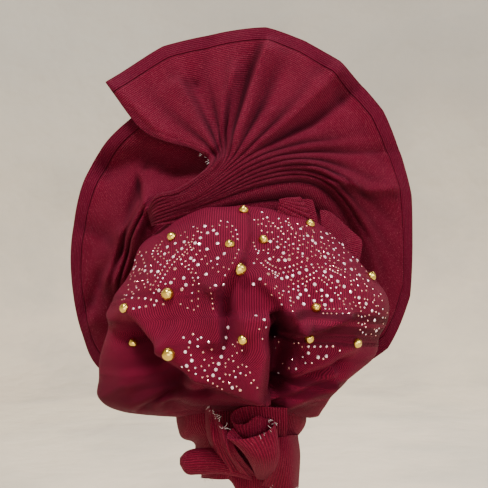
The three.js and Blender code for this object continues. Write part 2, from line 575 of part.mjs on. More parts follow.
const sideFlapRows = table('u x0 z0 y0 x1 z1 y1 x2 z2 y2', [
  [0.00, 0.259, 0.981, -0.22, 0.261, 0.920, -0.26, 0.263, 0.820, -0.30],
  [0.25, 0.287, 0.977, -0.20, 0.296, 0.900, -0.24, 0.303, 0.790, -0.28],
  [0.50, 0.324, 0.937, -0.17, 0.336, 0.860, -0.21, 0.346, 0.740, -0.25],
  [0.75, 0.368, 0.877, -0.14, 0.375, 0.820, -0.18, 0.377, 0.720, -0.22],
  [1.00, 0.402, 0.831, -0.13, 0.400, 0.790, -0.17, 0.390, 0.710, -0.20],
]);
const flapShares = [crownShare, crownShare, crownShare];
const flapGrid = (rows, columns) =>
  gridOf(steps(columns), steps(4), surface(rows, flapPlaces, flapShares));
const innerPleatColumns = 6;
const innerFlapColumns = 3;
const sideFlapColumns = 6;

// Wrap at the nape: its top edge is tucked inside the head opening
const napeRows = table('v left right back z', [
  [0.00, 0.97, 0.97, 1.00, 0.00],
  [0.12, 0.97, 0.97, 1.00, 0.24],
  [0.25, 0.91, 0.84, 1.00, 0.44],
  [0.45, 0.75, 0.76, 0.99, 0.63],
  [0.70, 0.66, 0.76, 0.94, 0.90],
  [1.00, 0.60, 0.78, 0.88, 1.27],
]);
const napeTurn = 0.56 * Math.PI;
const napeSplit = 0.3;
const napeSplitFrom = 0.12;
const napeSplitOver = 0.4;
const napeInset = clothWall * 1.5 + clearance;
const openingBack = ringPoint(0, 0)[2];
const napePoint = (u, v) => {
  const read = (name) => through(column(napeRows, 'v'), column(napeRows, name), v);
  const turn = -napeTurn + 2 * napeTurn * u;
  const [sine, cosine] = [Math.sin(turn), Math.cos(turn)];
  const side = (read(turn < 0 ? 'left' : 'right') * headWidth) / 2 - napeInset;
  const back = read('back') * headBack * crownBack - napeInset;
  const lift = v * ease((napeSplitFrom - sine) / napeSplitOver) * napeSplit * knotHeight * cosine;
  const rim = openingBack + (ringPoint(turn, 0)[2] - openingBack) * (1 - v);
  const power = 2 / crownSquareness;
  return [
    Math.sign(sine) * Math.abs(sine) ** power * side,
    cosine > 0 ? -(cosine ** power) * back : Math.abs(cosine) ** power * headFront * crownFront,
    rim + napeTuck - read('z') * knotHeight + lift,
  ];
};
const napeColumns = 20;
const napeRowsAlong = 5;

// Knot: sheets and rolls, as shares of the knot's width, height and depth behind the nape
const napeBack = headBack * crownBack;
const behindNape = (point) => [point[0], -napeBack - point[1], point[2]];
const knotShares = [knotShare, knotShare, knotShare];
const leftPetalRows = table('u x0 z0 y0 x1 z1 y1 x2 z2 y2', [
  [0.00, -0.313, 0.150, 0.30, -0.300, -0.221, 0.34, -0.200, -0.600, 0.16],
  [0.20, -0.285, 0.150, 0.52, -0.245, -0.225, 0.60, -0.150, -0.615, 0.26],
  [0.40, -0.240, 0.085, 0.68, -0.195, -0.255, 0.74, -0.075, -0.635, 0.28],
  [0.70, -0.175, -0.020, 0.86, -0.110, -0.318, 0.86, 0.030, -0.680, 0.22],
  [1.00, -0.115, -0.115, 0.90, -0.010, -0.375, 0.84, 0.150, -0.740, 0.08],
]);
const backPetalRows = table('u x0 z0 y0 x1 z1 y1 x2 z2 y2', [
  [0.00, 0.409, 0.137, 0.72, 0.413, -0.135, 0.55, 0.400, -0.431, -0.10],
  [0.14, 0.241, 0.152, 0.76, 0.261, -0.107, 0.59, 0.279, -0.415, -0.07],
  [0.28, 0.074, 0.161, 0.74, 0.110, -0.107, 0.59, 0.140, -0.410, -0.03],
  [0.38, -0.032, 0.126, 0.72, 0.021, -0.133, 0.57, 0.048, -0.410, -0.03],
  [0.46, -0.084, 0.067, 0.81, -0.032, -0.145, 0.66, -0.007, -0.405, 0.00],
  [0.54, -0.057, -0.007, 0.95, -0.005, -0.168, 0.83, 0.021, -0.405, 0.17],
  [0.64, 0.038, -0.011, 1.00, 0.056, -0.181, 0.90, 0.075, -0.406, 0.41],
  [0.76, 0.134, 0.076, 0.98, 0.134, -0.159, 0.90, 0.137, -0.420, 0.48],
  [0.88, 0.204, 0.048, 0.93, 0.205, -0.175, 0.86, 0.200, -0.436, 0.45],
  [1.00, 0.275, -0.006, 0.86, 0.267, -0.218, 0.79, 0.255, -0.463, 0.34],
]);
const rightBandRows = table('u x0 z0 y0 x1 z1 y1 x2 z2 y2', [
  [0.00, 0.531, -0.360, -0.86, 0.548, -0.660, -0.93, 0.554, -1.000, -1.00],
  [0.35, 0.520, -0.290, -0.21, 0.545, -0.540, -0.24, 0.527, -0.948, -0.34],
  [0.70, 0.427, -0.230, 0.31, 0.452, -0.450, 0.38, 0.429, -0.869, 0.21],
  [1.00, 0.298, -0.236, 0.48, 0.279, -0.502, 0.55, 0.195, -0.860, 0.00],
]);
const petalPlaces = [0, 0.5, 1];
const petalRowsAlong = 3;
const petalGrid = (rows, columns) => gridOf(
  steps(columns),
  steps(petalRowsAlong),
  (u, v) => behindNape(surface(rows, petalPlaces, knotShares)(u, v)),
);
const leftPetalColumns = 12;
const backPetalColumns = 16;
const rightBandColumns = 6;

// Rolls: rings along a line, each with its middle, its half width, half height and half depth
const rollColumns = 12;
const rolled = (rows, count) => {
  const keys = column(rows, 'v');
  const read = (name, v) => through(keys, column(rows, name), v);
  const angles = steps(rollColumns).slice(0, -1).map((turn) => turn * 2 * Math.PI);
  return gridOf(angles, steps(count), (turn, v) => behindNape([
    (read('x', v) + read('wide', v) * Math.sin(turn)) * knotWidth,
    (read('y', v) + read('deep', v) * Math.cos(turn)) * knotDepth,
    (read('z', v) + read('high', v) * Math.sin(turn) + read('lean', v) * Math.cos(turn)) * knotHeight,
  ]));
};
const frontRollRows = table('v x z y wide deep high lean', [
  [0.0, 0.086, -0.067, 1.02, 0.205, 0.20, 0.070, -0.070],
  [0.3, 0.152, -0.224, 1.02, 0.170, 0.19, 0.030, -0.040],
  [0.6, 0.196, -0.406, 0.92, 0.132, 0.17, 0.000, -0.020],
  [0.8, 0.205, -0.560, 0.66, 0.094, 0.14, 0.000, 0.000],
  [1.0, 0.188, -0.740, 0.20, 0.040, 0.08, 0.000, 0.000],
]);
const leftLoopRows = table('v x z y wide deep high lean', [
  [0.00, -0.545, -0.535, 0.26, 0.000, 0.04, 0.035, 0],
  [0.10, -0.505, -0.545, 0.28, 0.000, 0.13, 0.105, 0],
  [0.35, -0.370, -0.530, 0.30, 0.000, 0.18, 0.145, 0],
  [0.60, -0.200, -0.545, 0.20, 0.000, 0.17, 0.135, 0],
  [0.80, -0.040, -0.610, 0.10, 0.000, 0.15, 0.120, 0],
  [1.00, 0.100, -0.700, 0.02, 0.000, 0.10, 0.090, 0],
]);

// Gold studs: place as shares of the pouch width and height, seen from behind
const studs = table('x z large', [
  [0.008, 0.970, false],
  [-0.211, 0.843, false],
  [-0.032, 0.805, false],
  [0.069, 0.827, false],
  [0.219, 0.905, false],
  [-0.005, 0.699, true],
  [-0.216, 0.582, true],
  [-0.350, 0.512, false],
  [0.414, 0.650, false],
  [0.222, 0.520, false],
  [-0.338, 0.330, false],
  [-0.210, 0.321, true],
  [0.008, 0.393, false],
  [0.201, 0.387, false],
  [0.352, 0.348, false],
]);

const studShape = (diameter) => {
  const r = diameter / 2;
  const high = diameter * studRise;
  return new THREE.LatheGeometry([
    new THREE.Vector2(0, 0),
    new THREE.Vector2(r, 0),
    new THREE.Vector2(r * 0.8, high * 0.7),
    new THREE.Vector2(0, high),
  ], studSides);
};

// Where a line along +Y from behind meets the pouch, and the normal there
const probe = new THREE.Mesh(crownWall(), new THREE.MeshBasicMaterial({ side: THREE.DoubleSide }));
const farBehind = 1000;
const meetsPouch = (from, along) => new THREE.Raycaster(from, along).intersectObject(probe)[0];

// Each stud is lifted until its base is clear of the cloth at these many places on each of its rings
const studProbes = 30;
const studProbeRings = 3;
const placeStud = (stud) => {
  const diameter = stud.large ? largeStudDiameter : studDiameter;
  const from = new THREE.Vector3(stud.x * crownWidth, -farBehind, stud.z * crownHeight);
  const hit = meetsPouch(from, new THREE.Vector3(0, 1, 0));
  const normal = hit.face.normal.clone().normalize();
  if (normal.y > 0) normal.negate();
  const turned = new THREE.Quaternion().setFromUnitVectors(new THREE.Vector3(0, 1, 0), normal);
  let lift = 0;
  for (let i = 0; i < studProbes * studProbeRings; i += 1) {
    const angle = (2 * Math.PI * i) / studProbes;
    const reach = (diameter / 2) * (Math.ceil((i + 1) / studProbes) / studProbeRings);
    const rim = new THREE.Vector3(Math.sin(angle), 0, Math.cos(angle)).multiplyScalar(reach);
    rim.applyQuaternion(turned).add(hit.point);
    const above = rim.clone().addScaledVector(normal, diameter * 2);
    const under = meetsPouch(above, normal.clone().negate());
    if (under) lift = Math.max(lift, rim.clone().sub(under.point).dot(normal) * -1);
  }
  const seat = hit.point.clone().addScaledVector(normal, lift + clearance);
  return { diameter, seat, turned };
};

// Putting the pieces together, each cut clear of the ones that it leans on
const headTie = new THREE.Group();
const piece = (name, geometry, finish) => {
  const mesh = new THREE.Mesh(geometry, new THREE.MeshStandardMaterial(finish));
  mesh.name = name;
  headTie.add(mesh);
  return mesh;
};

const crown = solidOf(crownWall());
piece('crown', geometryOf(crown), burgundy);

const studSpaces = studs.map((stud, i) => {
  const { diameter, seat, turned } = placeStud(stud);
  const mesh = piece(`stud_${String(i + 1).padStart(2, '0')}`, studShape(diameter), gold);
  mesh.position.copy(seat);
  mesh.quaternion.copy(turned);
  const space = studShape(diameter + 2 * clearance).applyQuaternion(turned);
  return solidOf(space.translate(seat.x, seat.y, seat.z));
});
const pouchAndStuds = studSpaces.reduce((sum, space) => sum.add(space), solidOf(crownSpace(clearance)));

const brow = clearOf(solidOf(browWall()), pouchAndStuds);
piece('forehead_pleats', geometryOf(brow), burgundy);
const browSpace = solidOf(browWall(clearance));

const fan = clearOf(solidOf(fanWall()), pouchAndStuds, browSpace);
piece('fan', geometryOf(fan), burgundy);
const fanSpace = solidOf(fanWall(clearance));

const lobe = clearOf(solidOf(lobeWall()), pouchAndStuds, browSpace, fanSpace);
piece('fan_left_lobe', geometryOf(lobe), burgundy);
const lobeSpace = solidOf(lobeWall(clearance));

const flap = (name, grid, ...neighbours) => {
  const solid = clearOf(solidOf(thickened(grid)), pouchAndStuds, browSpace, fanSpace, lobeSpace, ...neighbours);
  piece(name, geometryOf(solid), burgundy);
  return solidOf(thickened(grid, clearance));
};
const pleatsSpace = flap('inner_pleats', flapGrid(innerPleatRows, innerPleatColumns));
const innerFlapSpace = flap('inner_flap', flapGrid(innerFlapRows, innerFlapColumns), pleatsSpace);
flap('side_flap', flapGrid(sideFlapRows, sideFlapColumns), pleatsSpace, innerFlapSpace);

const knotPiece = (name, make, ...neighbours) => {
  const solid = clearOf(make(0), ...neighbours);
  piece(name, geometryOf(solid), burgundy);
  return make(clearance);
};
const napeGrid = gridOf(steps(napeColumns), steps(napeRowsAlong), napePoint);
const nape = (grow) => solidOf(thickened(napeGrid, grow));
const napeSpace = knotPiece('nape_wrap', nape);

const sheetOf = (rows, columns) => (grow) => solidOf(thickened(petalGrid(rows, columns), grow));
const rollOf = (rows, count) => (grow) => solidOf(thickened(rolled(rows, count), grow, true));
const under = [pouchAndStuds, napeSpace];
const backPetal = knotPiece('knot_petal_back', sheetOf(backPetalRows, backPetalColumns), ...under);
const leftPetal = knotPiece('knot_petal_left', sheetOf(leftPetalRows, leftPetalColumns), ...under, backPetal);
const frontRoll = knotPiece('knot_roll', rollOf(frontRollRows, 7), ...under, backPetal, leftPetal);
const knotted = [...under, backPetal, leftPetal, frontRoll];
const leftLoop = knotPiece('knot_loop_left', rollOf(leftLoopRows, 6), ...knotted);
knotPiece('knot_band_right', sheetOf(rightBandRows, rightBandColumns), ...knotted, leftLoop);

export default headTie;
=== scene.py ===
import math
import random

import bpy
import numpy as np
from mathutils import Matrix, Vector
from mathutils.bvhtree import BVHTree


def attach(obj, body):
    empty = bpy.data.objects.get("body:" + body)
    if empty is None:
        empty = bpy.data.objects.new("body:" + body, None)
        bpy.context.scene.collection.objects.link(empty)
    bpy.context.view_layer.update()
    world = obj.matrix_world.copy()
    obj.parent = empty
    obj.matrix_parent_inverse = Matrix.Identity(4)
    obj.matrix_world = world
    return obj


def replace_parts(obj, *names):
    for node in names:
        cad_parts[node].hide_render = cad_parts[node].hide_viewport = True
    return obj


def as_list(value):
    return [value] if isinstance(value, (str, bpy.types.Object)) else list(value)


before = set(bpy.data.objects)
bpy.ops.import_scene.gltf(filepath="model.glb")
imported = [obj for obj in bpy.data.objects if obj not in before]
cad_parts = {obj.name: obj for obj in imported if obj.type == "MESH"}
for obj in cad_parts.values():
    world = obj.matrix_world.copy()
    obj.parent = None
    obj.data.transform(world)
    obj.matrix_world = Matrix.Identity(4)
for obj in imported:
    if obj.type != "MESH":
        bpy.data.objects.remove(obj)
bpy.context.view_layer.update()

MM = 0.001

# Driving sizes of the cloth in millimetres, the same as the solid model's
FAN_WIDTH, FAN_HEIGHT, FAN_DEPTH = 412, 440, 60
CROWN_WIDTH, CROWN_HEIGHT, CROWN_BACK, CROWN_FRONT = 340, 222, 152, 100
HEAD_WIDTH, HEAD_DEPTH, HEAD_FORWARD = 157, 176, 8
KNOT_WIDTH, KNOT_HEIGHT, KNOT_DEPTH, NAPE_TUCK = 0.74 * HEAD_WIDTH, 90, 58, 12
CLOTH_WALL, CLEARANCE = 1.6, 0.3
# The line of stitches lies one millimetre inside the solid's hem
STITCH_LINE = 17
FAN_PLEATS, FAN_PLEAT_RISE = 17, 6.0
BROW_PLEATS, BROW_PLEAT_RISE = 6, 6
STUD_DIAMETER, LARGE_STUD_DIAMETER, STUD_RISE = 10, 13, 0.58

CROWN_SHARE = (CROWN_WIDTH, CROWN_BACK, CROWN_HEIGHT)
FAN_SHARE = (FAN_WIDTH, FAN_DEPTH, FAN_HEIGHT)
KNOT_SHARE = (KNOT_WIDTH, KNOT_DEPTH, KNOT_HEIGHT)


# Tables and smooth curves
PLAIN_COLUMNS = ("power", "count", "size", "lines", "large")
FOLD_COLUMNS = "x0 z0 x1 z1 x2 z2 left right tip rise power"
SHEET_COLUMNS = "u x0 z0 y0 x1 z1 y1 x2 z2 y2"
ROLL_COLUMNS = "v x z y wide deep high lean"


def table(columns, rows, per=1):
    """The columns of a table by name; all but the plain ones are typed in parts of per."""
    values = np.array(rows, float)
    names = columns.split()
    return {name: values[:, i] / (1 if name in PLAIN_COLUMNS else per) for i, name in enumerate(names)}


def through(keys, values, t, slack=1.0):
    """A smooth curve through the values at the keys; slack under 1 draws its spans straighter."""
    keys = np.asarray(keys, float)
    values = np.asarray(values, float)
    t = np.asarray(t, float)
    i = np.clip(np.searchsorted(keys, t, side="left") - 1, 0, len(keys) - 2)
    shape = (-1,) + (1,) * (values.ndim - 1)
    gaps = (keys[1:] - keys[:-1]).reshape(shape)
    grade = (values[1:] - values[:-1]) / gaps
    share = gaps[1:] / (gaps[1:] + gaps[:-1])
    inner = grade[:-1] * share + grade[1:] * (1 - share)
    slope = np.concatenate([grade[:1], inner, grade[-1:]])
    span = gaps[i]
    rise = values[i + 1] - values[i]
    start = rise + (slope[i] * span - rise) * slack
    end = rise + (slope[i + 1] * span - rise) * slack
    s = ((t - keys[i]) / (keys[i + 1] - keys[i])).reshape((-1,) + (1,) * (values.ndim - 1))
    r = 1 - s
    return values[i] + rise * s * s * (3 - 2 * s) + start * s * r * r - end * s * s * r


def ease(t):
    s = np.clip(t, 0, 1)
    return s * s * (3 - 2 * s)


def fold_form(distance, reach, power):
    return np.exp(-np.abs(distance / reach) ** power)


def unit(a):
    return a / np.maximum(np.linalg.norm(a, axis=-1, keepdims=True), 1e-9)


def ripple(a, b, *waves):
    """Slow unevenness of the cloth: a sum of a few waves (rise, turns along a, turns along b, start)."""
    return sum(rise * np.sin(math.tau * (fa * a + fb * b) + start) for rise, fa, fb, start in waves)


# The pouch: rings from the head opening up to the top
HEAD_BACK = (HEAD_DEPTH / 2 - HEAD_FORWARD) / CROWN_BACK
HEAD_FRONT = (HEAD_DEPTH / 2 + HEAD_FORWARD) / CROWN_FRONT
HEAD_SIDE = HEAD_WIDTH / 2 / CROWN_WIDTH
CROWN_RINGS = table("level left right back front zSide zBack zFront", [
    (0.00, HEAD_SIDE, HEAD_SIDE, HEAD_BACK, HEAD_FRONT, -0.070, 0.010, 0.072),
    (0.10, 0.294, 0.235, 0.560, 1.00, -0.066, 0.026, 0.100),
    (0.20, 0.394, 0.262, 0.650, 1.00, -0.030, 0.048, 0.153),
    (0.30, 0.443, 0.312, 0.800, 0.98, 0.054, 0.070, 0.225),
    (0.40, 0.458, 0.372, 0.920, 0.94, 0.162, 0.195, 0.315),
    (0.50, 0.447, 0.435, 0.985, 0.88, 0.288, 0.340, 0.414),
    (0.60, 0.424, 0.483, 0.985, 0.80, 0.414, 0.495, 0.518),
    (0.70, 0.392, 0.478, 0.930, 0.72, 0.541, 0.640, 0.622),
    (0.80, 0.358, 0.405, 0.800, 0.60, 0.676, 0.780, 0.730),
    (0.90, 0.312, 0.315, 0.590, 0.40, 0.829, 0.915, 0.856),
    (0.97, 0.190, 0.182, 0.340, 0.15, 0.945, 0.995, 0.955),
    (1.00, 0.040, 0.040, 0.150, -0.09, 0.990, 1.000, 0.985),
])
CROWN_SQUARENESS = 2.2
BACK_CROWDING = 0.6
LOW_TWIST = 0.9
CROWN_COLUMNS, CROWN_ROWS = 280, 150

# Folds of the pouch seen from behind: each runs through three places, given as shares of its
# width and height, reaches a share of the width to its left and right and past its ends, stands
# proud by a share of the depth, and has a power: low for a sharp crest, high for a round one
CROWN_FOLDS = table(FOLD_COLUMNS, [
    (10, 1007, 22, 853, -2, 729, 12, 42, 60, 59, 1.6),
    (-2, 729, -40, 655, -70, 598, 14, 61, 20, 90, 1.6),
    (-89, 915, -209, 727, -319, 554, 91, 91, 60, 59, 2.0),
    (-70, 598, -66, 490, -57, 382, 12, 48, 20, 80, 1.6),
    (-50, 540, -36, 480, -40, 383, 24, 22, 30, -75, 2.0),
    (-7, 650, -10, 538, 7, 427, 40, 16, 30, 50, 1.6),
    (182, 806, 291, 664, 419, 537, 103, 103, 60, 46, 2.0),
    (79, 478, 81, 300, 81, 108, 7, 100, 12, 180, 2.2),
    (118, 400, 130, 314, 106, 160, 38, 40, 30, -340, 2.4),
    (63, 637, 112, 561, 138, 498, 35, 14, 30, 70, 1.8),
    (138, 498, 144, 445, 168, 412, 34, 9, 10, 140, 1.8),
    (98, 492, 111, 460, 112, 382, 15, 13, 8, -170, 2.2),
    (168, 412, 223, 430, 300, 470, 40, 10, 30, 170, 1.7),
    (120, 206, 227, 258, 333, 326, 27, 24, 30, 59, 2.0),
    (105, 149, 188, 189, 291, 252, 13, 15, 30, -85, 1.6),
    (145, 71, 263, 156, 434, 287, 30, 24, 30, 70, 2.0),
    (96, 61, 171, 106, 261, 177, 13, 13, 30, -80, 1.6),
    (274, 215, 265, 106, 239, -28, 12, 36, 30, 60, 1.8),
    (-233, 315, -130, 205, 68, 120, 79, 9, 20, 110, 1.8),
    (-371, 430, -314, 475, -241, 333, 48, 8, 30, 90, 1.8),
    (-338, 383, -287, 300, -207, 188, 39, 55, 40, -250, 2.0),
    (-300, 230, -265, 130, -215, 50, 55, 50, 40, -110, 2.0),
    (-377, 537, -438, 309, -440, 92, 36, 36, 40, 45, 2.0),
    (-410, 89, -319, 180, -232, 259, 36, 36, 40, 70, 2.0),
    (-397, 30, -280, 48, -156, 147, 33, 39, 40, 59, 2.0),
    (-109, 133, -206, 125, -302, 26, 15, 15, 30, -85, 1.6),
], per=1000)
RELIEF_FROM, RELIEF_FULL = -0.05, 0.35
RELIEF_LEAN, RELIEF_REACH = (0.5, 1.0, 0.2), 0.04
RELIEF_FOOT, RELIEF_TOP = 0.1, 0.08
CROWN_RIPPLES = ((0.9, 3.1, 1.7, 0.4), (0.7, -2.3, 4.1, 1.9), (0.4, 6.7, 3.3, 4.2))


def ring_points(turns, levels):
    """Points of the smooth pouch for every turn (0 at the back, pi at the face) and level."""
    turn, level = np.broadcast_arrays(turns, levels)
    flat = level.ravel()
    read = {name: through(CROWN_RINGS["level"], CROWN_RINGS[name], flat).reshape(level.shape)
            for name in CROWN_RINGS}
    power = 2 / CROWN_SQUARENESS
    sine, cosine = np.sin(turn), np.cos(turn)
    side = np.where(sine > 0, read["right"], read["left"]) * CROWN_WIDTH
    x = np.sign(sine) * np.abs(sine) ** power * side
    depth = np.where(cosine > 0, -read["back"] * CROWN_BACK, read["front"] * CROWN_FRONT)
    y = np.abs(cosine) ** power * depth
    rise = np.where(cosine > 0, read["zBack"], read["zFront"]) - read["zSide"]
    z = (read["zSide"] + rise * cosine ** 2) * CROWN_HEIGHT
    return np.stack([x, y, z], axis=-1)


def ring_normals(turns, levels, near=0.01):
    """Directions out of the pouch, read between places that are a little apart."""
    along = ring_points(turns + near, levels) - ring_points(turns - near, levels)
    high, low = np.minimum(levels + near, 1), np.maximum(levels - near, 0)
    up = ring_points(turns, high) - ring_points(turns, low)
    return unit(np.cross(along, up))


def fold_share(folds, k, x, z, width, height):
    """How much of fold k there is at each place: 1 on its line, less to the sides and past its ends."""
    nearest = np.full(x.shape, np.inf)
    side = np.zeros(x.shape)
    past = np.zeros(x.shape)
    for a, b, first in (("0", "1", True), ("1", "2", False)):
        ax, az = folds["x" + a][k] * width, folds["z" + a][k] * height
        dx, dz = folds["x" + b][k] * width - ax, folds["z" + b][k] * height - az
        length = math.hypot(dx, dz)
        share = ((x - ax) * dx + (z - az) * dz) / length ** 2
        held = np.clip(share, 0, 1)
        gx, gz = x - ax - dx * held, z - az - dz * held
        distance = np.hypot(gx, gz)
        across = ((x - ax) * dz - (z - az) * dx) / length
        over = np.maximum(-share, 0) if first else np.maximum(share - 1, 0)
        at_end = over > 0
        closer = distance < nearest
        side = np.where(closer, np.where(at_end, across, np.sign(across) * distance), side)
        past = np.where(closer, over * length, past)
        nearest = np.where(closer, distance, nearest)
    reach = np.where(side < 0, folds["left"][k], folds["right"][k]) * width
    return fold_form(side, reach, folds["power"][k]) * fold_form(past, folds["tip"][k] * width, 2)


def relief(folds, x, z, width, height, depth):
    """How far all folds of a table together stand proud."""
    return sum(fold_share(folds, k, x, z, width, height) * rise * depth
               for k, rise in enumerate(folds["rise"]))


def crown_relief(turns, levels):
    base = ring_points(turns, levels)
    facing = ease((np.cos(turns) - RELIEF_FROM) / (RELIEF_FULL - RELIEF_FROM))
    share = facing * ease(levels / RELIEF_FOOT) * ease((1 - levels) / RELIEF_TOP)
    return relief(CROWN_FOLDS, base[..., 0], base[..., 2], CROWN_WIDTH, CROWN_HEIGHT, CROWN_BACK) * share


def crown_points(turns, levels):
    base = ring_points(turns, levels)
    outward = unit(ring_normals(turns, levels, RELIEF_REACH) * RELIEF_LEAN)
    slow = ripple(base[..., 0] / CROWN_WIDTH, base[..., 2] / CROWN_HEIGHT, *CROWN_RIPPLES)
    return base + outward * (crown_relief(turns, levels) + slow * ease(levels / RELIEF_FOOT))[..., None]


# Surfaces given by a table: rows across the pleats, and places along each row
def placed(rows, shares):
    """An array (rows, places, 3) in millimetres from a table with columns x0 y0 z0 x1 y1 z1 and so on."""
    return np.stack([
        np.stack([rows[axis + str(k)] * share for axis, share in zip("xyz", place_share)], axis=-1)
        for k, place_share in enumerate(shares)
    ], axis=1)


def surface(rows, keys, shares, us, vs, last_slack=1.0):
    """Points (len(us), len(vs), 3) of a smooth surface through a table."""
    places = placed(rows, shares)
    lines = through(rows["u"], places, us)
    lines[:, -1] = through(rows["u"], places[:, -1], us, last_slack)
    return through(keys, lines.transpose(1, 0, 2), vs).transpose(1, 0, 2)


def pleat_form(t, softness):
    """Ridges side by side, one for each whole step of t: round with sharp grooves, or soft."""
    across = 2 * (t - np.floor(t)) - 1
    sharp = np.sqrt(np.maximum(1 - across * across, 0))
    soft = 0.5 + 0.5 * np.cos(math.pi * across)
    return sharp * (1 - softness) + soft * softness


def lee_side(t):
    """One at the far side of each ridge, where the light from above doesn't reach."""
    return ease(2 * (t - np.floor(t)) - 1)


FAN_PLACES = (0, 0.1, 0.25, 0.4, 0.6, 0.8, 1)
FAN_SHARES = (CROWN_SHARE,) * 4 + (FAN_SHARE,) * 3
FAN_ROWS = table("u x2 z2 y2 x3 z3 y3 x4 z4 y4 x5 z5 y5 x6 z6 y6", [
    (0, -195, 1085, -390, -106, 1191, -340, -122, 646, -500, -267, 700, -80, -384, 838, 330),
    (60, -188, 1075, -410, -90, 1195, -360, -89, 658, -500, -198, 754, 0, -319, 884, 500),
    (120, -181, 1070, -410, -80, 1200, -360, -71, 674, -470, -135, 792, 80, -225, 941, 570),
    (200, -171, 1060, -420, -70, 1201, -340, -52, 696, -370, -65, 825, 130, -90, 973, 600),
    (300, -162, 1055, -420, -54, 1201, -330, -8, 723, -300, 31, 847, 170, 72, 992, 600),
    (370, -156, 1050, -420, -38, 1207, -320, 44, 713, -270, 116, 827, 200, 184, 957, 600),
    (430, -149, 1045, -420, -19, 1213, -300, 88, 701, -230, 189, 793, 230, 285, 900, 600),
    (510, -143, 1040, -420, 7, 1209, -290, 141, 673, -200, 275, 711, 270, 410, 769, 630),
    (580, -137, 1035, -410, 30, 1199, -280, 174, 650, -170, 320, 659, 300, 465, 645, 670),
    (640, -130, 1028, -410, 46, 1185, -260, 197, 630, -130, 344, 601, 330, 492, 542, 700),
    (710, -124, 1021, -400, 62, 1166, -250, 214, 607, -100, 359, 532, 370, 496, 406, 730),
    (790, -118, 1012, -390, 72, 1142, -240, 225, 581, -50, 357, 463, 450, 491, 265, 770),
    (880, -115, 1002, -380, 86, 1107, -220, 229, 553, 20, 342, 401, 570, 429, 124, 870),
    (1000, -112, 920, -340, 95, 940, -160, 190, 430, 100, 250, 290, 650, 190, -20, 1050),
], per=1000)
PINCH = table("u x0 z0 y0 x1 z1 y1", [
    (0, -302, 975, -290, -275, 1040, -380),
    (1000, -288, 900, -300, -262, 905, -370),
], per=1000)
for name in ("x0", "z0", "y0", "x1", "z1", "y1"):
    FAN_ROWS[name] = np.interp(FAN_ROWS["u"], PINCH["u"], PINCH[name])
HEM_SLACK = 0.45
FAN_CREASES = table(FOLD_COLUMNS, [
    (65, 923, 22, 800, -28, 650, 55, 6, 30, 300, 1.3),
    (11, 835, -17, 736, -53, 644, 14, 30, 90, -200, 1.8),
    (-25, 855, -45, 776, -66, 665, 18, 18, 30, 150, 1.6),
    (-118, 815, -82, 749, -62, 662, 30, 16, 80, -130, 1.7),
    (-172, 831, -127, 757, -79, 657, 10, 50, 20, 200, 1.5),
    (-168, 836, -144, 842, -122, 838, 8, 20, 10, -50, 1.6),
    (70, 810, 39, 736, -8, 657, 24, 24, 90, -150, 1.8),
    (264, 860, 110, 710, -3, 631, 20, 40, 50, 150, 1.7),
    (270, 782, 194, 723, 76, 665, 20, 34, 90, -160, 1.7),
    (350, 656, 265, 650, 166, 644, 14, 26, 90, -100, 1.7),
    (266, 563, 292, 587, 318, 563, 14, 10, 20, 160, 1.4),
    (308, 563, 365, 546, 429, 554, 30, 8, 20, 180, 1.4),
    (56, 737, 70, 746, 85, 754, 5, 9, 10, 50, 1.6),
    (44, 601, 172, 623, 289, 563, 20, 12, 40, 90, 1.8),
    (289, 546, 347, 475, 371, 399, 20, 30, 50, 100, 1.8),
    (-353, 819, -294, 765, -219, 694, 25, 12, 40, 90, 1.8),
    (-90, 950, -100, 900, -120, 850, 30, 30, 40, -70, 2.0),
    (240, 870, 330, 760, 400, 640, 30, 30, 50, -80, 2.0),
], per=1000)
PLEAT_KEYS = (0, 0.1, 0.25, 0.4, 0.55, 0.75, 1)
PLEAT_SHARES = (0.5, 0.62, 0.88, 1, 0.9, 0.35, 0)
LEE_SHADE = 0.9
FAN_COLUMNS_PER_PLEAT, FAN_LINES, FAN_HEM_LINES, FAN_HEM_FROM = 26, 60, 26, 0.93

LOBE_PLACES = (0, 0.25, 0.5, 0.75, 1)
LOBE_SHARES = (CROWN_SHARE, CROWN_SHARE, FAN_SHARE, FAN_SHARE, FAN_SHARE)
LOBE_ROWS = table("u x0 z0 y0 x1 z1 y1 x2 z2 y2 x3 z3 y3 x4 z4 y4", [
    (0, -60, 1240, -60, -85, 1330, -10, -105, 720, 120, -170, 765, 300, -240, 800, 450),
    (100, -110, 1184, -90, -172, 1255, -30, -205, 664, 130, -267, 699, 330, -327, 737, 500),
    (200, -143, 1138, -110, -222, 1193, -30, -256, 631, 170, -328, 652, 400, -394, 676, 570),
    (320, -180, 1080, -130, -262, 1125, -40, -285, 583, 200, -369, 589, 470, -447, 595, 600),
    (440, -195, 970, -180, -304, 1040, -90, -313, 531, 200, -399, 511, 500, -480, 488, 630),
    (560, -200, 860, -160, -326, 950, -150, -328, 475, 70, -410, 431, 470, -492, 379, 670),
    (680, -215, 790, -140, -338, 890, -190, -341, 425, 0, -415, 355, 470, -486, 279, 700),
    (800, -225, 750, -100, -342, 835, -180, -347, 362, 70, -407, 264, 500, -463, 169, 770),
    (900, -230, 720, -60, -338, 780, -120, -335, 314, 230, -384, 193, 600, -421, 75, 870),
    (1000, -255, 720, -40, -315, 690, 20, -290, 270, 470, -300, 134, 800, -300, -15, 1000),
], per=1000)
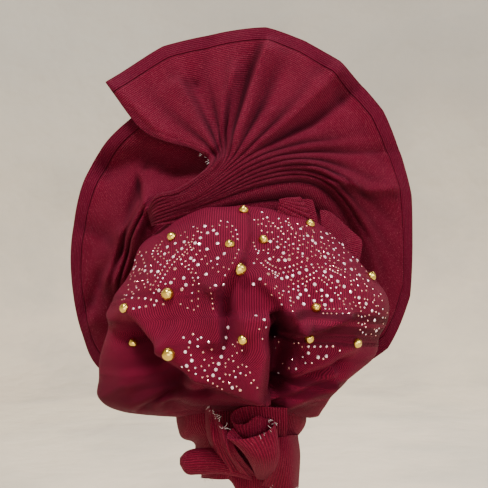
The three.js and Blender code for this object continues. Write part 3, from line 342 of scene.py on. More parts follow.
LOBE_CREASES = table(FOLD_COLUMNS, [
    (-268, 500, -313, 425, -347, 320, 8, 10, 30, 240, 1.6),
    (-259, 490, -293, 415, -327, 325, 10, 8, 30, 208, 1.6),
    (-263, 492, -304, 420, -338, 322, 4, 4, 30, -128, 1.6),
    (-285, 503, -333, 436, -375, 325, 10, 18, 30, 224, 1.6),
    (-290, 560, -308, 500, -322, 426, 20, 20, 60, -250, 2.0),
    (-381, 611, -285, 630, -138, 595, 45, 45, 50, -320, 2.0),
    (-283, 588, -268, 540, -254, 495, 35, 9, 20, 224, 1.6),
    (-341, 373, -392, 320, -418, 262, 32, 28, 60, -230, 2.0),
    (-369, 326, -404, 273, -426, 214, 24, 24, 40, 160, 1.8),
    (-432, 447, -381, 426, -341, 399, 30, 30, 50, -96, 2.0),
], per=1000)
CREASES_FROM, CREASES_OVER = 0.42, 0.12
LOBE_CREASES_OVER = 0.25
LOBE_COLUMNS, LOBE_LINES = 170, 100

# Face side: a crescent of stacked pleats from temple to temple
BROW_TURN_START, BROW_TURN_END = 0.53 * math.pi, 1.47 * math.pi
BROW_TOP = table("u level", [(0, 0.30), (0.25, 0.56), (0.5, 0.66), (0.75, 0.56), (1, 0.30)])
BROW_LOW = 0.03
BROW_COLUMNS, BROW_LINES = 110, 96

# Small loose pleats and two flaps between the fan and the pouch
SHEET_PLACES = (0, 0.5, 1)
INNER_PLEAT_ROWS = table(SHEET_COLUMNS, [
    (0, 122, 1026, -390, 155, 1038, -340, 188, 1044, -300),
    (330, 122, 1021, -390, 168, 1003, -360, 211, 989, -320),
    (660, 119, 1000, -390, 171, 968, -370, 220, 925, -330),
    (1000, 115, 960, -390, 157, 910, -380, 190, 860, -350),
], per=1000)
INNER_FLAP_ROWS = table(SHEET_COLUMNS, [
    (0, 189, 1030, -260, 200, 960, -300, 210, 870, -340),
    (500, 212, 1036, -260, 222, 955, -290, 233, 850, -330),
    (1000, 235, 1031, -250, 247, 945, -280, 259, 830, -310),
], per=1000)
SIDE_FLAP_ROWS = table(SHEET_COLUMNS, [
    (0, 259, 981, -220, 261, 920, -260, 263, 820, -300),
    (250, 287, 977, -200, 296, 900, -240, 303, 790, -280),
    (500, 324, 937, -170, 336, 860, -210, 346, 740, -250),
    (750, 368, 877, -140, 375, 820, -180, 377, 720, -220),
    (1000, 402, 831, -130, 400, 790, -170, 390, 710, -200),
], per=1000)

# Wrap at the nape: its top edge is tucked inside the head opening
NAPE_ROWS = table("v left right back z", [
    (0.00, 0.97, 0.97, 1.00, 0.00),
    (0.12, 0.97, 0.97, 1.00, 0.24),
    (0.25, 0.91, 0.84, 1.00, 0.44),
    (0.45, 0.75, 0.76, 0.99, 0.63),
    (0.70, 0.66, 0.76, 0.94, 0.90),
    (1.00, 0.60, 0.78, 0.88, 1.27),
])
NAPE_TURN, NAPE_SPLIT = 0.56 * math.pi, 0.3

# Knot: sheets and rolls, as shares of the knot's width, height and depth behind the nape
NAPE_BACK = HEAD_BACK * CROWN_BACK
LEFT_PETAL_ROWS = table(SHEET_COLUMNS, [
    (0, -313, 150, 300, -300, -221, 340, -190, -530, 160),
    (200, -285, 150, 520, -245, -225, 600, -150, -580, 260),
    (400, -240, 85, 680, -195, -255, 740, -75, -635, 280),
    (700, -175, -20, 860, -110, -318, 860, 30, -680, 220),
    (1000, -115, -115, 900, -10, -375, 840, 150, -740, 80),
], per=1000)
# Creases of the left sheet: place, drift, reach and rise
PETAL_CREASES = ((0.18, 0.10, 0.05, 3.2), (0.30, 0.12, 0.03, -3.4),
                 (0.47, 0.06, 0.06, 2.6), (0.72, 0.10, 0.03, -2.8))
BACK_PETAL_ROWS = table(SHEET_COLUMNS, [
    (0, 409, 137, 720, 413, -135, 550, 400, -431, -100),
    (140, 241, 152, 760, 261, -107, 590, 279, -415, -70),
    (280, 74, 161, 740, 110, -107, 590, 140, -410, -30),
    (380, -32, 126, 720, 21, -133, 570, 48, -410, -30),
    (460, -84, 67, 810, -32, -145, 660, -7, -405, 0),
    (540, -57, -7, 950, -5, -168, 830, 21, -405, 170),
    (640, 38, -11, 1000, 56, -181, 900, 75, -406, 410),
    (760, 134, 76, 980, 134, -159, 900, 137, -420, 480),
    (880, 204, 48, 930, 205, -175, 860, 200, -436, 450),
    (1000, 275, -6, 860, 267, -218, 790, 255, -463, 340),
], per=1000)
RIGHT_BAND_ROWS = table(SHEET_COLUMNS, [
    (0, 531, -360, -860, 548, -660, -930, 554, -1000, -1000),
    (350, 520, -290, -210, 545, -540, -240, 527, -948, -340),
    (700, 427, -230, 310, 452, -450, 380, 429, -869, 210),
    (1000, 298, -236, 480, 279, -502, 550, 195, -860, 0),
], per=1000)
FRONT_ROLL_ROWS = table(ROLL_COLUMNS, [
    (0, 86, -67, 1020, 205, 200, 70, -70),
    (300, 152, -224, 1020, 170, 190, 30, -40),
    (600, 196, -406, 920, 132, 170, 0, -20),
    (800, 205, -560, 660, 94, 140, 0, 0),
    (1000, 188, -740, 200, 40, 80, 0, 0),
], per=1000)
LEFT_LOOP_ROWS = table(ROLL_COLUMNS, [
    (0, -545, -535, 260, 0, 40, 35, 0),
    (100, -505, -545, 280, 0, 130, 105, 0),
    (350, -370, -530, 300, 0, 180, 145, 0),
    (600, -200, -545, 200, 0, 170, 135, 0),
    (800, -40, -610, 100, 0, 150, 120, 0),
    (1000, 100, -700, 20, 0, 100, 90, 0),
], per=1000)


# Gold studs: place as shares of the pouch width and height, seen from behind
STUDS = table("x z large", [
    (8, 970, 0), (-211, 843, 0), (-32, 805, 0), (69, 827, 0), (219, 905, 0),
    (-5, 699, 1), (-216, 582, 1), (-350, 512, 0), (414, 650, 0), (222, 520, 0),
    (-338, 330, 0), (-210, 321, 1), (8, 393, 0), (201, 387, 0), (352, 348, 0),
], per=1000)

# Rows of stones as seen from a point behind the head, on a plane just behind the pouch: three
# places as shares of the pouch width and height, how many, their size (0 small, 1 middle,
# 2 large) and how many lines lie side by side
STONE_ROWS = table("x0 z0 x1 z1 x2 z2 count size lines", [
    (-132, 815, -111, 803, -67, 747, 4, 2, 1),
    (-145, 747, -124, 718, -73, 625, 5, 2, 1),
    (-191, 700, -158, 641, -171, 608, 4, 2, 1),
    (-96, 860, -72, 870, -67, 813, 4, 2, 1),
    (-164, 820, -171, 790, -196, 753, 3, 2, 1),
    (-190, 813, -213, 797, -221, 766, 3, 2, 1),
    (-311, 699, -278, 691, -241, 687, 5, 2, 1),
    (-203, 638, -220, 621, -238, 603, 2, 2, 1),
    (-47, 767, -49, 698, -50, 630, 2, 2, 1),
    (-104, 890, -110, 863, -117, 838, 2, 2, 1),
    (-129, 764, -97, 723, -65, 687, 5, 0, 1),
    (-119, 781, -86, 735, -49, 707, 5, 0, 1),
    (-161, 734, -124, 660, -124, 533, 9, 0, 1),
    (-171, 721, -141, 673, -142, 557, 8, 0, 1),
    (-293, 775, -283, 742, -277, 711, 5, 1, 1),
    (-307, 738, -304, 720, -306, 710, 2, 1, 1),
    (-245, 805, -257, 760, -233, 718, 8, 0, 1),
    (-229, 822, -242, 772, -214, 735, 8, 0, 1),
    (-174, 849, -155, 841, -139, 833, 3, 0, 1),
    (-307, 667, -307, 632, -296, 606, 4, 0, 1),
    (-292, 679, -318, 682, -321, 653, 4, 0, 1),
    (-286, 647, -281, 632, -278, 617, 3, 0, 1),
    (-271, 651, -262, 629, -262, 608, 3, 0, 1),
    (-326, 607, -322, 602, -316, 597, 2, 0, 1),
    (-338, 583, -342, 571, -345, 562, 2, 0, 1),
    (-316, 570, -278, 567, -245, 557, 5, 1, 1),
    (-312, 523, -276, 533, -225, 542, 5, 1, 1),
    (-175, 542, -155, 525, -136, 517, 3, 0, 1),
    (-88, 615, -83, 567, -80, 523, 5, 0, 1),
    (-38, 909, -13, 874, -9, 833, 5, 0, 1),
    (-40, 887, -27, 865, -22, 845, 3, 0, 1),
    (-58, 913, -61, 894, -82, 890, 3, 0, 1),
    (-6, 785, -19, 738, -45, 671, 6, 0, 1),
    (-126, 881, -125, 867, -115, 863, 3, 0, 1),
    (-142, 821, -152, 798, -166, 760, 4, 0, 1),
    (-137, 791, -147, 779, -174, 742, 4, 0, 1),
    (-147, 810, -205, 725, -255, 606, 16, 0, 2),
    (62, 953, 132, 844, 195, 747, 10, 1, 1),
    (175, 878, 204, 834, 218, 814, 4, 2, 1),
    (297, 807, 261, 776, 246, 752, 4, 2, 1),
    (236, 839, 244, 847, 251, 856, 2, 2, 1),
    (340, 738, 321, 737, 302, 722, 3, 2, 1),
    (87, 822, 108, 796, 125, 770, 3, 2, 1),
    (85, 744, 122, 737, 142, 742, 4, 2, 1),
    (192, 695, 152, 669, 120, 656, 5, 2, 1),
    (246, 687, 283, 644, 321, 597, 5, 2, 1),
    (323, 697, 346, 672, 371, 647, 3, 2, 1),
    (216, 630, 180, 593, 167, 571, 4, 2, 1),
    (236, 604, 252, 580, 265, 559, 3, 2, 1),
    (184, 542, 215, 557, 246, 539, 3, 2, 1),
    (345, 571, 383, 513, 395, 424, 5, 2, 1),
    (81, 676, 57, 654, 38, 631, 3, 2, 1),
    (45, 490, 56, 481, 69, 472, 2, 2, 1),
    (141, 877, 180, 825, 223, 769, 8, 0, 2),
    (100, 841, 144, 791, 196, 720, 9, 0, 2),
    (271, 830, 249, 804, 234, 773, 5, 0, 2),
    (304, 762, 276, 741, 252, 714, 5, 0, 2),
    (179, 720, 151, 702, 117, 691, 6, 0, 2),
    (216, 672, 184, 647, 144, 612, 7, 0, 2),
    (233, 667, 262, 630, 307, 548, 8, 0, 2),
    (264, 706, 308, 671, 416, 567, 11, 0, 2),
    (212, 706, 221, 690, 229, 706, 3, 0, 1),
    (241, 512, 272, 511, 316, 511, 6, 0, 2),
    (152, 511, 146, 548, 146, 572, 4, 0, 1),
    (122, 583, 124, 592, 125, 601, 2, 0, 1),
    (347, 546, 352, 500, 356, 416, 6, 0, 1),
    (370, 563, 401, 535, 427, 504, 5, 0, 1),
    (395, 508, 408, 493, 429, 458, 4, 0, 1),
    (375, 494, 371, 469, 365, 440, 3, 0, 1),
    (72, 631, 100, 613, 91, 583, 3, 0, 1),
    (38, 817, 48, 782, 81, 787, 6, 0, 1),
    (51, 769, 48, 743, 39, 725, 3, 0, 1),
    (51, 919, 68, 892, 88, 889, 4, 0, 1),
    (139, 923, 143, 897, 161, 857, 4, 0, 1),
    (261, 857, 314, 773, 366, 689, 9, 0, 1),
    (65, 733, 82, 711, 105, 694, 6, 0, 2),
    (94, 680, 108, 669, 121, 656, 5, 0, 1),
    (111, 923, 120, 886, 140, 894, 3, 0, 1),
    (-166, 393, -152, 402, -139, 408, 2, 1, 1),
    (-148, 372, -125, 353, -109, 327, 3, 1, 1),
    (-115, 393, -93, 373, -84, 340, 3, 1, 1),
    (-84, 302, -88, 285, -92, 269, 2, 0, 1),
    (-105, 294, -110, 280, -114, 265, 2, 0, 1),
    (-161, 329, -142, 290, -157, 267, 3, 2, 1),
    (-36, 438, -56, 307, -80, 224, 7, 2, 1),
    (-171, 262, -103, 208, -54, 163, 8, 0, 1),
    (-23, 362, -9, 372, 2, 377, 3, 0, 1),
    (-44, 278, -24, 312, 4, 336, 5, 0, 1),
    (-32, 226, 11, 270, 49, 169, 8, 0, 1),
    (-15, 216, 7, 235, 31, 190, 4, 0, 1),
    (-51, 196, -41, 193, -33, 189, 2, 0, 1),
    (-24, 169, -12, 163, -1, 158, 2, 2, 1),
    (74, 439, 55, 431, 64, 387, 3, 0, 1),
    (100, 397, 111, 374, 102, 347, 3, 0, 1),
    (198, 353, 233, 353, 269, 354, 5, 1, 1),
    (156, 368, 169, 369, 179, 352, 3, 0, 1),
    (198, 324, 226, 305, 250, 310, 3, 2, 1),
    (123, 278, 151, 294, 181, 307, 3, 0, 1),
    (111, 236, 141, 257, 162, 253, 3, 1, 1),
    (189, 279, 221, 285, 289, 335, 4, 0, 1),
], per=1000)
# Fields of small stones: four corners, how many lines and how many in a line
STONE_FIELDS = table("x0 z0 x1 z1 x2 z2 x3 z3 lines count", [
    (45, 925, 215, 880, 415, 560, 125, 545, 15, 11),
    (-135, 880, -300, 760, -340, 560, -140, 620, 9, 8),
    (335, 570, 430, 520, 395, 400, 350, 420, 5, 4),
    (-160, 385, -20, 360, -10, 180, -120, 230, 6, 5),
], per=1000)
FIELD_UNEVEN, FIELD_CLEAR = 2.0, 1.5
STONE_RADIUS = (0.98, 1.3, 1.8)
STONE_LINE_GAP = 4.6
COPPER_SHARE = (0.75, 0.35, 0.1)
SEEN_FROM = (3.45, -1100.0, 180.0)

# Measures of grids of points
def even(count):
    return np.linspace(0, 1, count + 1)


def normals_of(grid):
    return unit(np.cross(np.gradient(grid, axis=0), np.gradient(grid, axis=1)))


def running_length(grid, axis):
    """Distance along one axis of a grid of points, measured from its start."""
    steps = np.linalg.norm(np.diff(grid, axis=axis), axis=-1)
    start = np.zeros_like(steps.take([0], axis=axis))
    return np.concatenate([start, np.cumsum(steps, axis=axis)], axis=axis)


def from_end(grid):
    """Distance along the second axis of a grid of points, measured back from its end."""
    whole = running_length(grid, 1)
    return whole[:, -1:] - whole


def weave_map(grid, line):
    """Cloth coordinates in millimetres: across the pleats, read on one line, and back from the hem."""
    across = np.broadcast_to(running_length(grid, 0)[:, [line]], grid.shape[:2])
    return np.stack([across, from_end(grid)], axis=-1)


def hollows(height, across, along, deep):
    """Painted shade in hollows: how far each place lies below the cloth around it; 1 at the deep value and
    under.
    """
    padded = np.pad(height, ((across, across), (along, along)), mode="edge")
    columns, lines = height.shape
    around = sum(padded[i:i + columns, j:j + lines]
                 for i in range(2 * across + 1) for j in range(2 * along + 1))
    around = around / ((2 * across + 1) * (2 * along + 1))
    return np.clip((around - height) / deep, 0, 1)


# Turned edges of the fan: how wide, how proud and how soft, and the depth and width of the stitch groove
HEM = dict(wide=STITCH_LINE, proud=0.7, soft=1.2, deep=0.9, groove=0.9)
SIDE_EDGE = dict(wide=7.0, proud=0.9, soft=1.5, deep=0.9, groove=1.2)


def turned_edge(off, wide, proud, soft, deep, groove):
    """How proud the cloth stands at a distance off its edge, with a groove where it is stitched down."""
    return ease((wide - off) / soft + 0.5) * proud - np.exp(-((off - wide) / groove) ** 2) * deep


# Meshes
def show(name, mesh):
    piece = bpy.data.objects.new(name, mesh)
    bpy.context.scene.collection.objects.link(piece)
    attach(piece, "root")
    return piece


def cloth(name, grid, material, weave, ring=False, capped=False, seat=0.0, shade=None):
    """A sheet of cloth with thickness, made from a grid of points in millimetres."""
    columns, lines = grid.shape[:2]
    index = np.arange(columns * lines).reshape(columns, lines)
    a, b = (index, np.roll(index, -1, axis=0)) if ring else (index[:-1], index[1:])
    quads = np.stack([a[:, :-1], b[:, :-1], b[:, 1:], a[:, 1:]], axis=-1).reshape(-1, 4)
    weave = weave * MM
    wa, wb = weave[:-1], weave[1:]
    uvs = np.stack([wa[:, :-1], wb[:, :-1], wb[:, 1:], wa[:, 1:]], axis=2).reshape(-1, 2)
    points = [tuple(p) for p in grid.reshape(-1, 3) * MM]
    faces = [tuple(q) for q in quads.tolist()]
    if capped:
        top = len(points)
        points.append(tuple(grid[:, -1].mean(axis=0) * MM))
        extra = []
        for i in range(columns):
            n = (i + 1) % columns
            faces.append((int(index[i, -1]), int(index[n, -1]), top))
            extra += [weave[i, -1], weave[i + 1, -1], (weave[i, -1] + weave[i + 1, -1]) / 2]
        uvs = np.concatenate([uvs, np.array(extra)])
    mesh = bpy.data.meshes.new(name)
    mesh.from_pydata(points, [], faces)
    mesh.uv_layers.new(name="weave").data.foreach_set("uv", uvs.astype(np.float32).ravel())
    mesh.polygons.foreach_set("use_smooth", np.ones(len(faces), bool))
    # Painted shade in the hollows, kept on the points for the material to darken them
    if shade is not None:
        darkness = np.zeros(len(points), np.float32)
        darkness[:shade.size] = shade.ravel()
        mesh.attributes.new("painted_shade", "FLOAT", "POINT").data.foreach_set("value", darkness)
    mesh.materials.append(material)
    mesh.update()
    piece = show(name, mesh)
    wall = piece.modifiers.new("wall", "SOLIDIFY")
    wall.thickness = CLOTH_WALL * MM
    wall.offset = seat
    wall.use_even_offset = False
    return piece


# Materials
def feed(tree, socket, value):
    """Sets a socket to a number or a colour, or links it to another node's output."""
    if isinstance(value, bpy.types.NodeSocket):
        tree.links.new(value, socket)
    else:
        socket.default_value = value


def node(tree, kind, *feeds, **values):
    """A shader node: feeds go to its inputs in order, values to its settings and inputs by name."""
    made = tree.nodes.new(kind)
    for key, value in values.items():
        if hasattr(made, key):
            setattr(made, key, value)
        else:
            feed(tree, made.inputs[key.replace("_", " ")], value)
    for socket, value in zip(made.inputs, feeds):
        if value is not None:
            feed(tree, socket, value)
    return made


def maths(tree, operation, *values):
    return node(tree, "ShaderNodeMath", *values, operation=operation).outputs[0]


def noise(tree, place, **values):
    return node(tree, "ShaderNodeTexNoise", place, **values).outputs["Fac"]


def ranged(tree, value, start, end, top=1.0):
    """Nought where a value is at its start, and the top where it is at its end."""
    return node(tree, "ShaderNodeMapRange", value, start, end, None, top).outputs["Result"]


def wave(tree, place, pitch):
    """A sine of one cloth coordinate, from 0 to 1, once for each pitch."""
    turns = maths(tree, "MULTIPLY", place, math.tau / (pitch * MM))
    return maths(tree, "MULTIPLY_ADD", maths(tree, "SINE", turns), 0.5, 0.5)


def line_at(tree, place, middle, reach):
    """One on a line of a cloth coordinate, falling to nought at its reach."""
    off = maths(tree, "ABSOLUTE", maths(tree, "SUBTRACT", place, middle * MM))
    return ranged(tree, off, reach * MM, LINE_CORE * reach * MM)


def mix_colour(tree, share, first, second):
    """The first colour where the share is 0, the second where it is 1."""
    unused = [None] * 5
    return node(tree, "ShaderNodeMix", share, *unused, first, second, data_type="RGBA").outputs[2]


def add_bump(tree, height, strength, distance):
    bump = node(tree, "ShaderNodeBump", Strength=strength, Distance=distance, Height=height)
    feed(tree, tree.nodes["Principled BSDF"].inputs["Normal"], bump.outputs[0])


def place_in(tree):
    return node(tree, "ShaderNodeTexCoord").outputs["Object"]


def new_material(name, **values):
    """A material and its tree, with the shader's own sockets set by name."""
    material = bpy.data.materials.new(name)
    material.use_nodes = True
    shader = material.node_tree.nodes["Principled BSDF"]
    for key, value in values.items():
        shader.inputs[key.replace("_", " ")].default_value = value
    return material, material.node_tree


# Ribs and yarns of the weave, and the lines and colours on it; the rib and yarn relief is also drawn in
# colour as painted shade in its grooves
RIB_PITCH, YARN_PITCH, YARN_IN_RIB = 2.5, 1.1, 0.25
WEAVE_BUMP, WEAVE_RISE = 0.9, 0.0012
# Shares of the uneven dye and of the painted shade in the rib grooves
DYE_SHARE, RIB_GROOVE_SHADE_SHARE = 0.45, 0.85
DYE_PATCHES = dict(Scale=16.0, Detail=6.0, Roughness=0.6)
SPECK_GRAINS = dict(Scale=1500.0, Detail=0.0)
SPECK_FROM, SPECK_TO = 0.66, 0.74
STITCH_REACH, LINE_CORE = 1.3, 0.35
HEM_BLEND, HEM_TINT = 1.5, 0.42
# Share of the painted shade colour at the deepest hollows
PAINTED_SHADE_SHARE = 0.88
LIGHT_BURGUNDY = (0.150, 0.0046, 0.022, 1)
DARK_BURGUNDY = (0.046, 0.0014, 0.007, 1)
# Colour of the painted shade in hollows
PAINTED_SHADE_COLOUR = (0.014, 0.0005, 0.0025, 1)
SPECK_COLOUR = (0.62, 0.16, 0.22, 1)
# Stitch line: painted shade of the groove that the stitches sink into
STITCH_LINE_SHADE_COLOUR = (0.018, 0.0004, 0.002, 1)
HEM_COLOUR = (0.055, 0.0018, 0.012, 1)
CLOTH_FINISH = dict(Roughness=0.72, Sheen_Weight=0.05, Sheen_Roughness=0.45, Specular_IOR_Level=0.12,
                    Specular_Tint=(1.0, 0.35, 0.45, 1))


def cloth_material(name, light, dark, ribs="Y", tint=(0.9, 0.15, 0.35, 1), specks=0.0, hemmed=False):
    """Ribbed cloth: ribs and yarns from the cloth coordinates, uneven dye, painted shade in the rib grooves
    and in the hollows, and a soft sheen.
    """
    material, tree = new_material(name, Sheen_Tint=tint, **CLOTH_FINISH)
    split = node(tree, "ShaderNodeSeparateXYZ", node(tree, "ShaderNodeUVMap", uv_map="weave").outputs[0])
    rib = wave(tree, split.outputs[ribs], RIB_PITCH)
    yarn = wave(tree, split.outputs["X" if ribs == "Y" else "Y"], YARN_PITCH)
    height = node(tree, "ShaderNodeMix", YARN_IN_RIB, None, rib, yarn, data_type="FLOAT").outputs[0]
    add_bump(tree, height, WEAVE_BUMP, WEAVE_RISE)
    place = place_in(tree)
    dye = noise(tree, place, **DYE_PATCHES)
    # Painted shade: darker in the rib and yarn grooves, lighter on their crests
    rib_groove_shade = maths(tree, "MULTIPLY_ADD", height, RIB_GROOVE_SHADE_SHARE, -DYE_SHARE / 2)
    colour = mix_colour(tree, maths(tree, "MULTIPLY_ADD", dye, DYE_SHARE, rib_groove_shade), dark, light)
    if specks:
        grains = noise(tree, place, **SPECK_GRAINS)
        colour = mix_colour(tree, ranged(tree, grains, SPECK_FROM, SPECK_TO, specks), colour, SPECK_COLOUR)
    if hemmed:
        off = split.outputs["Y"]
        # The stitch line, darkened as painted shade of its groove
        colour = mix_colour(tree, line_at(tree, off, STITCH_LINE, STITCH_REACH), colour, STITCH_LINE_SHADE_COLOUR)
        in_hem = ranged(tree, off, STITCH_LINE * MM, (STITCH_LINE - HEM_BLEND) * MM, HEM_TINT)
        colour = mix_colour(tree, in_hem, colour, HEM_COLOUR)
    # Painted shade: darker in the hollows of the cloth and on the lee side of pleats
    painted_shade = node(tree, "ShaderNodeAttribute", attribute_name="painted_shade").outputs["Fac"]
    colour = mix_colour(tree, maths(tree, "MULTIPLY", painted_shade, PAINTED_SHADE_SHARE), colour, PAINTED_SHADE_COLOUR)
    feed(tree, tree.nodes["Principled BSDF"].inputs["Base Color"], colour)
    return material


def plain_material(name, colour, **values):
    return new_material(name, Base_Color=colour, **values)[0]


BEATEN_SCALE, BEATEN_BUMP, BEATEN_RISE = 260.0, 0.4, 0.0005


def gold_material():
    """Bright metal with a slightly beaten surface."""
    material, tree = new_material("gold_metal", Base_Color=(0.74, 0.52, 0.1, 1), Roughness=0.24, Metallic=1.0)
    add_bump(tree, noise(tree, place_in(tree), Scale=BEATEN_SCALE, Detail=3.0), BEATEN_BUMP, BEATEN_RISE)
    return material


fan_cloth = cloth_material("fan_cloth", LIGHT_BURGUNDY, DARK_BURGUNDY, specks=0.22, hemmed=True)
crown_cloth = cloth_material("crown_cloth", (0.205, 0.0078, 0.033, 1), (0.042, 0.0017, 0.0075, 1), ribs="X",
                             tint=(0.9, 0.18, 0.4, 1))
plain_cloth = cloth_material("plain_cloth", LIGHT_BURGUNDY, DARK_BURGUNDY, specks=0.2)
knot_cloth = cloth_material("knot_cloth", (0.165, 0.0046, 0.023, 1), (0.055, 0.0014, 0.008, 1), ribs="X",
                            specks=0.2)
gold_metal = gold_material()
clear_crystal = plain_material("clear_crystal", (0.95, 0.7, 0.76, 1), Roughness=0.1, Metallic=0.4,
                               Coat_Weight=1.0, Coat_Roughness=0.03)
copper_crystal = plain_material("copper_crystal", (0.85, 0.42, 0.36, 1), Roughness=0.14, Metallic=0.7,
                                Coat_Weight=0.6, Coat_Roughness=0.05)
thread = plain_material("thread", (0.6, 0.5, 0.5, 1), Roughness=0.8)


# Camera and surroundings, in metres
PHOTO_SIDE, MM_PER_PIXEL = 488, 1.15
CAMERA_BACK, CAMERA_HEIGHT, CAMERA_RIGHT = 1.1, 0.180, 0.00345
FARTHEST_SEEN = 20
STUDIO_LOW, STUDIO_RADIUS, STUDIO_BEND, STUDIO_HIGH = -0.36, 3.2, 0.8, 3.0
STUDIO_SIDES, STUDIO_FOOT_RINGS, STUDIO_MIDDLE = 64, 10, 0.02
# Painted light: the paper is lighter and warmer towards the floor
PAPER_LOW, PAPER_HIGH = (0.66, 0.56, 0.43, 1), (0.44, 0.41, 0.36, 1)
PAPER_FROM, PAPER_TO = -0.5, 1.0
PATCHES = dict(Scale=2.2, Detail=4.0, Roughness=0.55)
# Darker patches: partly stains, partly painted shade of the paper's wrinkles
PATCH_COLOUR = (0.36, 0.34, 0.3, 1)
PATCH_FROM, PATCH_TO, PATCH_SHARE = 0.44, 0.62, 0.36
CREASED_BUMP, CREASED_RISE = 0.6, 0.12
SKY_COLOUR, SKY_STRENGTH = (0.95, 0.97, 1.0, 1), 0.14
# Soft square lights: name, place, what each is aimed at, size, power and colour
LIGHTS = [
    ("window", (-0.8, -1.55, 2.95), (0, 0, 0.1), 0.8, 165, (1.0, 0.98, 0.95)),
    ("fill", (1.7, -1.7, 1.6), (0, 0, 0.15), 1.6, 60, (0.95, 0.97, 1.0)),
    ("low", (0.2, -2.1, -0.1), (0, 0, -0.02), 1.2, 21, (1.0, 0.98, 0.96)),
    ("wall", (0, 1.0, 2.7), (0, 3.2, 0.3), 1.6, 44, (1.0, 0.97, 0.92)),
    ("face_side", (0.9, 2.2, 1.9), (0, 0, 0.15), 1.2, 62, (1.0, 0.98, 0.95)),
]


def add_camera():
    data = bpy.data.cameras.new("camera")
    half = PHOTO_SIDE / 2 * MM_PER_PIXEL * MM
    data.sensor_fit = "HORIZONTAL"
    data.angle = 2 * math.atan(half / CAMERA_BACK)
    data.clip_end = FARTHEST_SEEN
    camera = bpy.data.objects.new("camera", data)
    camera.location = (CAMERA_RIGHT, -CAMERA_BACK, CAMERA_HEIGHT)
    camera.rotation_euler = (math.pi / 2, 0, 0)
    bpy.context.scene.collection.objects.link(camera)
    bpy.context.scene.camera = camera


def add_light(name, place, aim, size, power, colour):
    data = bpy.data.lights.new(name, "AREA")
    data.size = size
    data.energy = power
    data.color = colour
    light = bpy.data.objects.new(name, data)
    light.location = place
    light.rotation_euler = (Vector(aim) - Vector(place)).to_track_quat("-Z", "Y").to_euler()
    bpy.context.scene.collection.objects.link(light)


def paper_material():
    """Matt paper with painted light: a little warmer and lighter towards the floor, with faint uneven patches
    that are partly stains and partly painted shade of its wrinkles.
    """
    paper, tree = new_material("paper", Roughness=0.9)
    place = place_in(tree)
    height = node(tree, "ShaderNodeSeparateXYZ", place).outputs["Z"]
    patches = noise(tree, place, **PATCHES)
    # Painted light: lighter and warmer towards the floor
    shade = mix_colour(tree, ranged(tree, height, PAPER_FROM, PAPER_TO), PAPER_LOW, PAPER_HIGH)
    # Patches: partly stains, partly painted shade of the wrinkles
    faint = ranged(tree, patches, PATCH_FROM, PATCH_TO, PATCH_SHARE)
    shade = mix_colour(tree, faint, shade, PATCH_COLOUR)
    feed(tree, tree.nodes["Principled BSDF"].inputs["Base Color"], shade)
    add_bump(tree, patches, CREASED_BUMP, CREASED_RISE)
    return paper


def add_studio():
    """A round paper room with a curved foot, and the lights."""
    inner, above = STUDIO_RADIUS - STUDIO_BEND, STUDIO_LOW + STUDIO_BEND
    foot = [(inner + STUDIO_BEND * math.sin(a), above - STUDIO_BEND * math.cos(a))
            for a in np.linspace(0, math.pi / 2, STUDIO_FOOT_RINGS)]
    profile = [(STUDIO_MIDDLE, STUDIO_LOW)] + foot + [(STUDIO_RADIUS, STUDIO_HIGH)]
    n = len(profile)
    points = [(r * math.sin(turn), r * math.cos(turn), z)
              for turn in np.linspace(0, math.tau, STUDIO_SIDES, endpoint=False) for r, z in profile]
    faces = []
    for i in range(STUDIO_SIDES):
        here, after = i * n, (i + 1) % STUDIO_SIDES * n
        faces += [(here + j, here + j + 1, after + j + 1, after + j) for j in range(n - 1)]
    mesh = bpy.data.meshes.new("backdrop")
    mesh.from_pydata(points, [], faces)
    mesh.polygons.foreach_set("use_smooth", np.ones(len(faces), bool))
    mesh.materials.append(paper_material())
    backdrop = bpy.data.objects.new("backdrop", mesh)
    bpy.context.scene.collection.objects.link(backdrop)
    world = bpy.data.worlds.new("world")
    world.use_nodes = True
    world.node_tree.nodes["Background"].inputs[0].default_value = SKY_COLOUR
    world.node_tree.nodes["Background"].inputs[1].default_value = SKY_STRENGTH
    bpy.context.scene.world = world
    for light in LIGHTS:
        add_light(*light)


# Building the cloth pieces

# Painted shade in hollows: how many columns and lines around a place it is compared with, and the depth that
# is fully dark
CROWN_HOLLOW_SHADE, FAN_HOLLOW_SHADE, LOBE_HOLLOW_SHADE, FLAP_HOLLOW_SHADE = (7, 4, 40.0), (8, 2, 1.4), (5, 5, 2.2), (5, 1, 1.6)
TWIST_BELOW, TWIST_OVER = 0.52, 0.4


def build_crown():
    """The pouch; its ribs run up from the opening and lean over low down."""
    turn = np.linspace(-math.pi, math.pi, CROWN_COLUMNS + 1)
    turn = turn - BACK_CROWDING * np.sin(turn)
    level = even(CROWN_ROWS)
    closed = crown_points(turn[:, None], level[None, :])
    around, along = running_length(closed, 0), from_end(closed)
    twist = LOW_TWIST * ease((TWIST_BELOW - level) / TWIST_OVER)
    across = (around - around[CROWN_COLUMNS // 2]) * np.cos(twist) + along * np.sin(twist)
    # Painted shade in the deep folds of the pouch
    proud = crown_relief(turn[:-1, None], level[None, :])
    return cloth("crown_cloth_shell", closed[:-1], crown_cloth, np.stack([across, along], axis=-1),
                 ring=True, capped=True, seat=-1.0, shade=hollows(proud, *CROWN_HOLLOW_SHADE))


PAIRED_UNTIL, PARTED_OVER, PAIR_SOFTNESS = 0.12, 0.14, 0.2
SOFT_FROM, SOFT_OVER = 0.4, 0.3
FAN_RIPPLES, FAN_RIPPLES_FROM = ((1.6, 2.3, 0.6, 0.3), (1.0, 4.9, -1.4, 2.2), (0.6, 9.5, 2.1, 1.1)), 0.45
LOBE_RIPPLES, LOBE_RIPPLES_FROM = ((1.3, 2.1, 0.7, 0.9), (0.8, 5.3, -1.1, 2.6)), 0.2
RIPPLES_OVER = 0.3
FAN_CREASE_SHADE, LOBE_CREASE_SHADE = 0.2, 0.5


